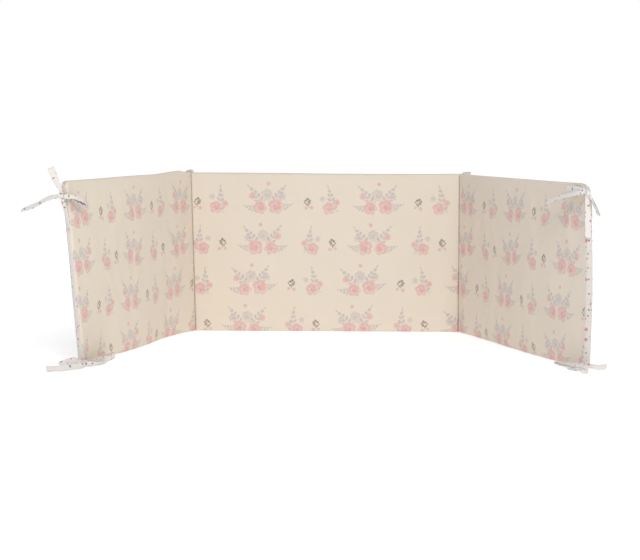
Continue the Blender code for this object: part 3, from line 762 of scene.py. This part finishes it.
def tape_ring(place, cup, pleat, phase):
    """The points round the tape's cross-section at one place."""
    normal = place.tangent.cross(place.across).normalized()
    face, back = [], []
    for share, thick in CROSS:
        half = HEM_HALF if abs(share) > HEM_START else TAPE_HALF
        mid = cup * (share * share - 0.4) + pleat * math.sin(2.6 * math.pi * share + phase)
        middle = place.point + place.across * place.half * share + normal * mid
        face.append(middle + normal * half * thick)
        back.append(middle - normal * half * thick)
    return [Vector((point.x, point.y, max(point.z, LOWEST))) for point in face + back[::-1]]


def add_sweep(mesh, rings, lengths, offset, closed=False):
    """A skin over a row of rings, with its UV map in metres: along the tape, and across it."""
    layer = mesh.loops.layers.uv["cloth"]
    verts = [[mesh.verts.new(point) for point in ring] for ring in rings]
    count = len(rings[0])
    across = [offset[1] + TAPE_WIDTH * 2.0 * k / count for k in range(count + 1)]
    pairs = list(zip(range(len(rings) - 1), range(1, len(rings))))
    if closed:
        pairs.append((len(rings) - 1, 0))
    for a, b in pairs:
        near = offset[0] + lengths[a]
        far = offset[0] + (lengths[b] if b else 2.0 * lengths[a] - lengths[a - 1])
        for k in range(count):
            j = (k + 1) % count
            face = mesh.faces.new((verts[a][k], verts[a][j], verts[b][j], verts[b][k]))
            face.smooth = True
            corners = ((near, k), (near, k + 1), (far, k + 1), (far, k))
            for loop, (place, step) in zip(face.loops, corners):
                loop[layer].uv = (place, across[step])
    if closed:
        return
    for ring, turned in ((verts[0], True), (verts[-1], False)):
        for k in range(count // 2 - 1):
            quad = [ring[k], ring[k + 1], ring[count - 2 - k], ring[count - 1 - k]]
            face = mesh.faces.new(quad[::-1] if turned else quad)
            for loop in face.loops:
                loop[layer].uv = offset


def add_arm(mesh, tie, tape_arm, chance):
    """One arm of a tie: tape along its path, pleated where the knot draws it together."""
    line = arm_line(tie, tape_arm, chance)
    is_loop = tape_arm.name.startswith("loop")
    if is_loop:
        line = looped(line, tape_arm.gap * MM)
    total = line[-1].reach
    phase, slow = chance.uniform(0.0, math.tau, 2)
    rings = []
    for place in line:
        near = total - place.reach if tape_arm.name == "seam" else place.reach
        if is_loop:
            near = min(near, total - near)
        pleat = PLEAT_DEPTH * math.exp(-((near / PLEAT_REACH) ** 2))
        cup = CUP_DEPTH * math.sin(place.reach / CUP_LENGTH + slow)
        crumple = CRUMPLE * math.sin(place.reach / CRUMPLE_LENGTHS[0] + phase)
        crumple *= math.sin(place.reach / CRUMPLE_LENGTHS[1])
        rings.append(tape_ring(place, cup + crumple, pleat, phase))
    offset = [float(value) for value in chance.uniform(0.0, UV_SPREAD, 2)]
    add_sweep(mesh, rings, [place.reach for place in line], offset)


def add_knot(mesh, tie, chance):
    """The knot: a creased core and the band of tape that wraps it."""
    centre = bend_point(tie, tie.knot)
    past, front = tie_frame(tie, tie.knot.up * MM)[1:]
    turn = Matrix((past, front, UP) if tie.at_end else (front, -past, UP)).transposed()
    made = bmesh.ops.create_uvsphere(mesh, u_segments=CORE_SIDES, v_segments=CORE_RINGS, radius=1.0)
    layer = mesh.loops.layers.uv["cloth"]
    offset = [float(value) for value in chance.uniform(0.0, UV_SPREAD, 2)]
    for vert in made["verts"]:
        around = math.atan2(vert.co.y, vert.co.x)
        crease = math.sin(5.0 * around + 4.0 * vert.co.z) * (1.0 - vert.co.z ** 2)
        crease = 1.0 + CREASE_DEPTH * crease
        local = Vector((vert.co.x * crease, vert.co.y * crease, vert.co.z)) * CORE_SIZE
        vert.co = centre + turn @ local
        for loop in vert.link_loops:
            loop.face.smooth = True
            loop[layer].uv = (offset[0] + local.x + local.y, offset[1] + local.z)
    tilt = Matrix.Rotation(math.radians(chance.uniform(-BAND_TILT, BAND_TILT)), 3, "X")
    rings, lengths, reach = [], [], 0.0
    for k in range(BAND_STEPS):
        angle = math.tau * k / BAND_STEPS
        local = Vector((BAND_RADII[0] * math.cos(angle), 0.0, BAND_RADII[1] * math.sin(angle)))
        along = Vector((-BAND_RADII[0] * math.sin(angle), 0.0, BAND_RADII[1] * math.cos(angle)))
        half = BAND_HALF_WIDTH * (1.0 + 0.14 * math.sin(2.0 * angle + 0.7))
        across = Vector((0.12 * math.sin(angle), 1.0, 0.1 * math.cos(angle))).normalized()
        place = Place(
            centre + turn @ tilt @ local, (turn @ tilt @ along).normalized(),
            (turn @ tilt @ across).normalized(), half, reach,
        )
        rings.append(tape_ring(place, CUP_DEPTH, BAND_PLEAT, 2.0 * angle))
        lengths.append(reach)
        reach += along.length * math.tau / BAND_STEPS
    add_sweep(mesh, rings, lengths, offset, closed=True)


def make_tie(tie, number, cloth):
    """A tied tape: a band round a knot, two loops, two free ends and the end sewn to the pad."""
    chance = np.random.default_rng(TIE_SEED + number)
    mesh = bmesh.new()
    mesh.loops.layers.uv.new("cloth")
    add_knot(mesh, tie, chance)
    for tape_arm in tie.arms:
        add_arm(mesh, tie, tape_arm, chance)
    bmesh.ops.recalc_face_normals(mesh, faces=mesh.faces)
    name = tie.node.replace("tie_", "tape_")
    data = bpy.data.meshes.new(name)
    mesh.to_mesh(data)
    mesh.free()
    tape = new_object(name, data)
    data.materials.append(cloth)
    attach(tape, "root")
    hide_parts(tie.node)


# ---------------------------------------------------------------- materials

def linear(red, green, blue):
    """A colour for a shader, from the 0 to 255 of a picture."""
    def channel(value):
        value /= 255.0
        return value / 12.92 if value <= 0.04045 else ((value + 0.055) / 1.055) ** 2.4
    return (channel(red), channel(green), channel(blue), 1.0)


class Num:
    """A number in a material's nodes, which adds and multiplies as plain numbers do."""

    def __init__(self, socket):
        self.socket = socket

    def then(self, operation, *others):
        return math_node(operation, self, *others)

    def __add__(self, other):
        return self.then("ADD", other)

    def __sub__(self, other):
        return self.then("SUBTRACT", other)

    def __rsub__(self, other):
        return math_node("SUBTRACT", other, self)

    def __mul__(self, other):
        return self.then("MULTIPLY", other)

    def __truediv__(self, other):
        return self.then("DIVIDE", other)

    def __abs__(self):
        return self.then("ABSOLUTE")


def plug(value, socket):
    if isinstance(value, Num):
        socket.id_data.links.new(value.socket, socket)
    else:
        socket.default_value = value


def new_node(beside, kind, inputs=(), **settings):
    """A node in the tree of a number or socket, with its first inputs filled."""
    socket = beside.socket if isinstance(beside, Num) else beside
    node = socket.id_data.nodes.new(kind)
    for name, value in settings.items():
        setattr(node, name, value)
    for value, entry in zip(inputs, node.inputs):
        plug(value, entry)
    return node


def math_node(operation, *values):
    beside = next(value for value in values if isinstance(value, Num))
    return Num(new_node(beside, "ShaderNodeMath", values, operation=operation).outputs[0])


def fade(value, low, high):
    """Rises smoothly from 0 at low to 1 at high; low may be the larger."""
    inputs = (value, low, high)
    node = new_node(value, "ShaderNodeMapRange", inputs, interpolation_type="SMOOTHSTEP")
    return Num(node.outputs[0])


def union(values):
    total = values[0]
    for value in values[1:]:
        total = total.then("MAXIMUM", value)
    return total


def pair(x, y):
    """A vector made of two numbers."""
    return new_node(x, "ShaderNodeCombineXYZ", (x, y)).outputs[0]


def noise(vector, scale, detail=2.0, rough=0.5):
    """A noise texture's (value, colour) sockets."""
    node = new_node(vector, "ShaderNodeTexNoise", (Num(vector),))
    for name, value in (("Scale", scale), ("Detail", detail), ("Roughness", rough)):
        node.inputs[name].default_value = value
    return Num(node.outputs[0]), node.outputs[1]


def blended(share, below, above):
    """A colour mixed from two, which are sockets or plain colours."""
    node = new_node(share, "ShaderNodeMix", (share,), data_type="RGBA")
    for colour, socket in ((below, node.inputs[6]), (above, node.inputs[7])):
        plug(colour if isinstance(colour, tuple) else Num(colour), socket)
    return node.outputs[2]


def parts_of(vector):
    node = new_node(vector, "ShaderNodeSeparateXYZ", (Num(vector),))
    return [Num(socket) for socket in node.outputs]


# The print, in millimetres from the middle of each of the motifs that a repeat holds. A spray is a
# stem with leaflets in pairs; its bend is how far its tip leans, in half widths.
Spray = namedtuple("Spray", "x y turn length width pairs bend")
Leaf = namedtuple("Leaf", "x y turn length width")
Bloom = namedtuple("Bloom", "x y radius petals turn")
Dot = namedtuple("Dot", "x y radius")
Motif = namedtuple("Motif", "x y lilac pink brown")

REPEAT_LENGTH = 0.244
REPEAT_HEIGHT = 0.0905
ROW_SHIFT = 0.42            # how much of a repeat each row is shifted from the one below
ROW_START = 0.16            # how far up a row the foot of the cloth lies
WOBBLE = 0.0036             # how far the painted outlines wander
LEAN = 0.34                 # how much a motif is turned from one repeat to another
SOFT = 0.16                 # how softly the paint ends

BOUQUET = Motif(
    -58, 1,
    lilac=(
        Spray(-14, -12, 118, 50, 24, 5, 0.5), Spray(14, -12, 62, 52, 24, 5, -0.6),
        Spray(28, -24, 6, 30, 17, 4, 0.7), Spray(-30, -22, 172, 28, 16, 4, -0.6),
        Bloom(1, 7, 14, 6, 0.3), Bloom(-33, 2, 9, 5, 0.9),
    ),
    pink=(
        Bloom(-17, -19, 18, 5, 0.4), Bloom(18, -21, 16, 6, 1.1), Bloom(34, 4, 8, 5, 0.2),
        Bloom(-3, 31, 5, 4, 0.9),
    ),
    brown=(),
)
FLOWER = Motif(
    50, -1,
    lilac=(Spray(-3, -30, 96, 62, 26, 6, -0.7), Bloom(15, 2, 7, 5, 0.5)),
    pink=(Bloom(4, -20, 15, 5, 0.7), Bloom(-15, -10, 8, 4, 0.5)),
    brown=(),
)
SPRIG = Motif(
    97, -12,
    lilac=(),
    pink=(Bloom(-6, -10, 4.6, 5, 0.3), Bloom(6.4, -9, 3.8, 4, 0.8)),
    brown=(
        Leaf(0.6, -11, 93, 20, 2.4), Leaf(0, -6, 50, 11, 4.4), Leaf(0, -3, 136, 10, 4.2),
        Dot(-0.5, 10.5, 3.3), Dot(-4.8, 6.6, 2.9), Dot(4.2, 7.4, 3.0), Dot(-2.2, 3.2, 2.2),
        Dot(7.4, 3.2, 2.0),
    ),
)


def own_axes(x, y, motif):
    """How far a place lies along a motif's own axis and aside of it, in metres."""
    turn = math.radians(motif.turn)
    dx, dy = x - motif.x * MM, y - motif.y * MM
    along = dx * math.cos(turn) + dy * math.sin(turn)
    return along, dy * math.cos(turn) - dx * math.sin(turn)


def spray_ink(x, y, spray):
    """Paint on a stem with leaflets that slant forward in pairs and grow shorter to its tip."""
    along, aside = own_axes(x, y, spray)
    along = along / (spray.length * MM)
    side = abs(aside / (0.5 * spray.width * MM) - along * along * spray.bend)
    spread = fade(along, 1.12, 0.15)
    place = side / (spread + 0.001)
    cell = (along * spray.pairs - side * 0.8).then("FRACT")
    leaflet = fade(place * (1.0 - place) * 1.7 - abs(cell - 0.5), 0.0, 0.14)
    stem = fade(side, 0.09, 0.03) * 0.8
    return union([leaflet, stem]) * fade(along, 0.0, 0.05) * fade(along, 1.02, 0.97)


def leaf_ink(x, y, leaf):
    """Paint on a pointed leaf: 1 on it, 0 off it, and thinner along its middle."""
    along, aside = own_axes(x, y, leaf)
    along, aside = along / (leaf.length * MM), abs(aside / (leaf.width * MM))
    belly = along * (1.0 - along) * 4.0
    inside = fade(belly - aside * 2.0, 0.0, 2.0 * SOFT)
    return inside * (fade(aside, -0.25, 0.45) * 0.45 + 0.55)


def bloom_ink(x, y, bloom):
    """Paint on a round flower with lobed petals, deeper at its heart and between the petals."""
    dx, dy = x - bloom.x * MM, y - bloom.y * MM
    reach = (dx * dx + dy * dy).then("SQRT") / (bloom.radius * MM)
    angle = dy.then("ARCTAN2", dx)
    lobe = abs((angle * (0.5 * bloom.petals) + bloom.turn).then("SINE"))
    inside = fade(lobe * 0.26 + 0.80 - reach, 0.0, SOFT)
    curl = (reach * 9.0 + angle + bloom.turn).then("SINE")
    tone = (1.0 - lobe) * 0.24 + curl * 0.17 + fade(reach, 0.55, 0.05) * 0.28
    return inside * (tone + 0.46)


def dot_ink(x, y, dot):
    dx, dy = x - dot.x * MM, y - dot.y * MM
    return fade((dx * dx + dy * dy).then("SQRT"), 1.15 * dot.radius * MM, 0.6 * dot.radius * MM)


PAINTERS = {Spray: spray_ink, Leaf: leaf_ink, Bloom: bloom_ink, Dot: dot_ink}


def print_inks(vector):
    """How much pink, lilac-grey and brown paint the print has at a place on the cloth."""
    wander = parts_of(noise(vector, 95.0)[1])
    u, v = parts_of(vector)[:2]
    u, v = u + (wander[0] - 0.5) * WOBBLE, v + (wander[1] - 0.5) * WOBBLE
    height = v / REPEAT_HEIGHT + ROW_START
    row = height.then("FLOOR")
    place = u / REPEAT_LENGTH + row * ROW_SHIFT
    column = place.then("FLOOR")
    chance = new_node(
        vector, "ShaderNodeTexWhiteNoise", (Num(pair(column, row)),), noise_dimensions="2D"
    )
    mirror = (row * 0.5).then("FRACT").then("GREATER_THAN", 0.25) * -2.0 + 1.0
    x = (place - column - 0.5) * REPEAT_LENGTH * mirror
    y = (height - row - 0.5) * REPEAT_HEIGHT
    inks = {"pink": [], "lilac": [], "brown": []}
    for motif, turn in zip((BOUQUET, FLOWER, SPRIG), parts_of(chance.outputs[1])):
        lean = (turn - 0.5) * LEAN
        dx, dy = x - motif.x * MM, y - motif.y * MM
        dx, dy = dx + dy * lean, dy - dx * lean
        for name, painted in inks.items():
            painted += [PAINTERS[type(shape)](dx, dy, shape) for shape in getattr(motif, name)]
    pink, lilac, brown = [union(painted) for painted in inks.values()]
    return pink, lilac * fade(pink, 0.30, 0.06), brown


WEAVE_PITCH = 0.0009
SLUB_SCALE, FLECK_SCALE, CREASE_SCALE, WASH_SCALE = 900.0, 1400.0, 42.0, 130.0
SLUB_STRETCH, FLECK_STRETCH = 0.18, 0.25
# How much each does to the cloth's relief, and how strong and deep that is
WEAVE_RELIEF, SLUB_RELIEF, CREASE_RELIEF, STITCH_RELIEF = 0.16, 0.45, 1.4, 1.5
RELIEF_STRENGTH, RELIEF_DEPTH = 0.35, 0.0006
# How much the paints cover at their most, and the share of that where they are palest; how much
# the threads and the seam's shade cover
LILAC_COVER, BROWN_COVER, LEAST_COVER = 0.92, 0.9, 0.55
THREAD_COVER, DOTTED_THREAD_COVER, SEAM_SHADE_COVER = 0.35, 0.3, 0.7
# How a cloth's colour varies: the scale of its patches, and how much the patches and flecks do
Ground = namedtuple("Ground", "scale patch fleck")
PRINTED_GROUND = Ground(9.0, 0.55, 0.35)
DOTTED_GROUND = Ground(14.0, 0.6, 0.3)
CREAM = linear(224, 213, 197)
CREAM_DEEP = linear(218, 206, 188)
PINK = linear(203, 120, 134)
PINK_PALE = linear(217, 160, 164)
LILAC = linear(172, 162, 166)
LILAC_PALE = linear(194, 186, 186)
BROWN = linear(112, 96, 92)
# The pad's dotted cloth is the tapes' cloth painted darker than theirs: the difference is painted
# shade, meant for the pad's rounded outer ends
WHITE_CLOTH_AND_PAINTED_SHADE = linear(216, 208, 200)
WHITE_DEEP_AND_PAINTED_SHADE = linear(207, 199, 191)
TAPE_WHITE = linear(228, 222, 216)
TAPE_DEEP = linear(217, 211, 205)
DOT_GREY = linear(104, 100, 106)
SEAM_SHADE = linear(203, 180, 168)
# How far below the top seam its shade begins, and is full
SEAM_SHADE_START, SEAM_SHADE_END = 0.0060, 0.0015


def new_material(name, **looks):
    """A material, and its shader with the looks given; in their names _ stands for a space."""
    material = bpy.data.materials.new(name)
    material.use_nodes = True
    shader = material.node_tree.nodes["Principled BSDF"]
    for look, value in looks.items():
        shader.inputs[look.replace("_", " ")].default_value = value
    return material, shader


def new_cloth(name):
    """A cloth's material and shader, and the place on the cloth in metres."""
    material, shader = new_material(
        name, Roughness=0.88, Specular_IOR_Level=0.25, Sheen_Weight=0.12, Sheen_Roughness=0.5
    )
    place = new_node(shader.outputs[0], "ShaderNodeUVMap", uv_map="cloth")
    return material, shader, place.outputs[0]


def cotton_ground(vector, pale, deep, ground):
    """The colour of cotton before its print: a little uneven, with short flecks of thread."""
    u, v = parts_of(vector)[:2]
    fleck = noise(pair(u * FLECK_STRETCH, v), FLECK_SCALE, 1.0)[0]
    share = noise(vector, ground.scale)[0] * ground.patch + fleck * ground.fleck - 0.1
    return blended(share, pale, deep)


def finish_cloth(shader, vector, colour, stitches=None):
    """The cloth's colour, and its threads, slubs and soft creases as fine relief."""
    plug(Num(colour), shader.inputs["Base Color"])
    u, v = parts_of(vector)[:2]
    turns = math.tau / WEAVE_PITCH
    weave = (u * turns).then("SINE") * (v * turns).then("SINE")
    slub_u = noise(pair(u * SLUB_STRETCH, v), SLUB_SCALE, 1.0)[0]
    slub_v = noise(pair(u, v * SLUB_STRETCH), SLUB_SCALE, 1.0)[0]
    creases = noise(vector, CREASE_SCALE, 3.0, 0.55)[0]
    height = weave * WEAVE_RELIEF + (slub_u + slub_v) * SLUB_RELIEF + creases * CREASE_RELIEF
    if stitches is not None:
        height = height + stitches * STITCH_RELIEF
    bump = new_node(vector, "ShaderNodeBump")
    plug(RELIEF_STRENGTH, bump.inputs["Strength"])
    plug(RELIEF_DEPTH, bump.inputs["Distance"])
    plug(height, bump.inputs["Height"])
    plug(Num(bump.outputs[0]), shader.inputs["Normal"])


STITCH_LENGTH = 0.0034
STITCH_GAP = 0.0010
THREAD_HALF = 0.00045


def stitch_ink(along, aside):
    """Dashes of thread: along the seam, and how far a place is beside it."""
    dash = (along / (STITCH_LENGTH + STITCH_GAP)).then("FRACT")
    share = STITCH_LENGTH / (STITCH_LENGTH + STITCH_GAP)
    ends = fade(dash, 0.0, 0.08) * fade(dash, share, share - 0.08)
    return ends * fade(abs(aside), THREAD_HALF * 1.3, THREAD_HALF * 0.5)


def printed_cotton(top):
    """Cream cotton with a painted flower print."""
    material, shader, vector = new_cloth("printed_cotton")
    u, v = parts_of(vector)[:2]
    pink, lilac, brown = print_inks(vector)
    wash = noise(vector, WASH_SCALE, 3.0, 0.6)[0]
    density = fade(wash, 0.2, 0.8) * (1.0 - LEAST_COVER) + LEAST_COVER
    colour = cotton_ground(vector, CREAM, CREAM_DEEP, PRINTED_GROUND)
    colour = blended(lilac * density * LILAC_COVER, colour, blended(wash, LILAC, LILAC_PALE))
    colour = blended(pink * density, colour, blended(wash, PINK, PINK_PALE))
    colour = blended(brown * density * BROWN_COVER, colour, BROWN)
    stitches = union([stitch_ink(u, v - height) for height in (STITCH_LINE, top - STITCH_LINE)])
    colour = blended(stitches * THREAD_COVER, colour, CREAM)
    shade = fade(v, top - SEAM_SHADE_START, top - SEAM_SHADE_END) * SEAM_SHADE_COVER
    finish_cloth(shader, vector, blended(shade, colour, SEAM_SHADE), stitches)
    return material


# A kind of dot: how far apart its places are, its radius, how many of the places have one, how
# thick its ink is, and its colour
Spot = namedtuple("Spot", "spacing radius share ink colour")
SPOTS = (
    Spot(0.0130, 0.0019, 0.88, 0.80, DOT_GREY),
    Spot(0.0085, 0.0010, 0.22, 0.60, DOT_GREY),
    Spot(0.0400, 0.0040, 0.80, 0.80, PINK),
)


def dots(vector, spot):
    """Scattered round dots of about one size."""
    node = new_node(vector, "ShaderNodeTexVoronoi", (Num(vector),), voronoi_dimensions="2D")
    node.inputs["Scale"].default_value = 1.0 / spot.spacing
    node.inputs["Randomness"].default_value = 0.85
    chances = parts_of(node.outputs["Color"])
    radius = spot.radius / spot.spacing
    inside = ((chances[0] * 0.5 + 0.7) * radius - Num(node.outputs["Distance"])) / radius
    return fade(inside, 0.0, 0.35) * chances[1].then("LESS_THAN", spot.share)


def dotted_cotton(name, white, deep, stitches_at=()):
    """Off-white cotton with small dark dots and a few pink ones, and upright lines of stitching."""
    material, shader, vector = new_cloth(name)
    colour = cotton_ground(vector, white, deep, DOTTED_GROUND)
    for spot in SPOTS:
        colour = blended(dots(vector, spot) * spot.ink, colour, spot.colour)
    stitches = None
    if stitches_at:
        u, v = parts_of(vector)[:2]
        stitches = union([stitch_ink(v, u - at) for at in stitches_at])
        colour = blended(stitches * DOTTED_THREAD_COVER, colour, deep)
    finish_cloth(shader, vector, colour, stitches)
    return material


# ---------------------------------------------------------------- camera, light and floor

CAMERA_AT = Vector((-0.002, -3.8342, 0.468))
CAMERA_LENS, SENSOR = 96.98, 36.0
CAMERA_YAW, CAMERA_PITCH, CAMERA_ROLL = math.radians(-0.17), math.radians(5.27), math.radians(0.29)


def make_camera():
    data = bpy.data.cameras.new("camera")
    data.lens, data.sensor_width = CAMERA_LENS, SENSOR
    camera = new_object("camera", data)
    camera.matrix_world = (
        Matrix.Translation(CAMERA_AT)
        @ Matrix.Rotation(-CAMERA_YAW, 4, "Z")
        @ Matrix.Rotation(0.5 * math.pi - CAMERA_PITCH, 4, "X")
        @ Matrix.Rotation(CAMERA_ROLL, 4, "Z")
    )
    bpy.context.scene.camera = camera


KEY_AT, KEY_TARGET = Vector((0.7, -5.2, 4.1)), Vector((0.0, -0.1, 0.15))
KEY_WIDTH, KEY_HEIGHT = 3.5, 2.5
KEY_POWER = 180.0           # watts
ROOM_LEFT = (0.447, 0.464, 0.522, 1.0)
ROOM_RIGHT = (0.575, 0.57, 0.56, 1.0)
ROOM_TURN = 0.6             # how far aside the room has its left or right colour
WALL_START, WALL_END = 0.3, 0.7     # how far ahead the white wall begins, and is full
FLOOR_SIZE = 9.0
FLOOR_GLOW = 0.28           # the light that the floor gives by itself near the object
FAR_GLOW = 0.80             # and far from it
GLOW_START, GLOW_END = 1.0, 2.6     # how far from the middle the one goes over into the other
FLOOR_DROP = 0.0002
FLOOR_COLOUR = (0.95, 0.95, 0.95, 1.0)
WHITE = (1.0, 1.0, 1.0, 1.0)


def make_light():
    """One large soft lamp, and a room whose wall ahead is white."""
    data = bpy.data.lights.new("key", "AREA")
    data.shape = "RECTANGLE"
    data.size, data.size_y, data.energy = KEY_WIDTH, KEY_HEIGHT, KEY_POWER
    light = new_object("key", data)
    turn = (KEY_TARGET - KEY_AT).to_track_quat("-Z", "Y").to_matrix().to_4x4()
    light.matrix_world = Matrix.Translation(KEY_AT) @ turn
    world = bpy.data.worlds.new("sky")
    world.use_nodes = True
    tree = world.node_tree
    aside, ahead = parts_of(tree.nodes.new("ShaderNodeTexCoord").outputs["Generated"])[:2]
    studio = blended(fade(aside, -ROOM_TURN, ROOM_TURN), ROOM_LEFT, ROOM_RIGHT)
    studio = blended(fade(ahead, WALL_START, WALL_END), studio, WHITE)
    tree.links.new(studio, tree.nodes["Background"].inputs["Color"])
    bpy.context.scene.world = world
    bpy.context.scene.view_settings.view_transform = "Standard"


def make_floor():
    mesh = bmesh.new()
    bmesh.ops.create_grid(mesh, x_segments=1, y_segments=1, size=0.5 * FLOOR_SIZE)
    bmesh.ops.translate(mesh, vec=(0.0, 0.0, -FLOOR_DROP), verts=mesh.verts)
    data = bpy.data.meshes.new("floor")
    mesh.to_mesh(data)
    mesh.free()
    floor = new_object("floor", data)
    material, shader = new_material(
        "floor", Base_Color=FLOOR_COLOUR, Emission_Color=WHITE, Roughness=1.0,
        Specular_IOR_Level=0.0,
    )
    place = new_node(shader.outputs[0], "ShaderNodeTexCoord").outputs["Object"]
    away = new_node(place, "ShaderNodeVectorMath", (Num(place),), operation="LENGTH")
    glow = fade(Num(away.outputs["Value"]), GLOW_START, GLOW_END)
    plug(glow * (FAR_GLOW - FLOOR_GLOW) + FLOOR_GLOW, shader.inputs["Emission Strength"])
    data.materials.append(material)


def make_bumper():
    """The pad and its ties, in their cloths."""
    outer_line = arc(pad_grid(False)[len(pad_rungs()) // 2])
    inner_top = float(arc(pad_grid(True)[:, sum(column_starts()[:2]) // 2])[-1])
    folds = [outer_line[k] for k in column_starts()[:2]]
    # The pad's dotted cloth takes the darker whites, which carry painted shade
    dotted = dotted_cotton(
        "dotted_cotton", WHITE_CLOTH_AND_PAINTED_SHADE, WHITE_DEEP_AND_PAINTED_SHADE, [float(fold - 0.5 * sum(folds)) for fold in folds]
    )
    make_pad(printed_cotton(inner_top), dotted)
    tape_cloth = dotted_cotton("dotted_tape", TAPE_WHITE, TAPE_DEEP)
    for number, tie in enumerate(TIES):
        make_tie(tie, number, tape_cloth)


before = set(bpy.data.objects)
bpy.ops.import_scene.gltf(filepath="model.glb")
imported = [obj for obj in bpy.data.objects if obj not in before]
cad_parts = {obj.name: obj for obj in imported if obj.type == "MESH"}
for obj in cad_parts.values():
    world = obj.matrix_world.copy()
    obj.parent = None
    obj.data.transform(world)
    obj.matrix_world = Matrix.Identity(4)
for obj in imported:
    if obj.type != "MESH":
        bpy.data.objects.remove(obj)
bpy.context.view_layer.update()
make_camera()
make_light()
make_floor()
make_bumper()
bpy.context.view_layer.update()
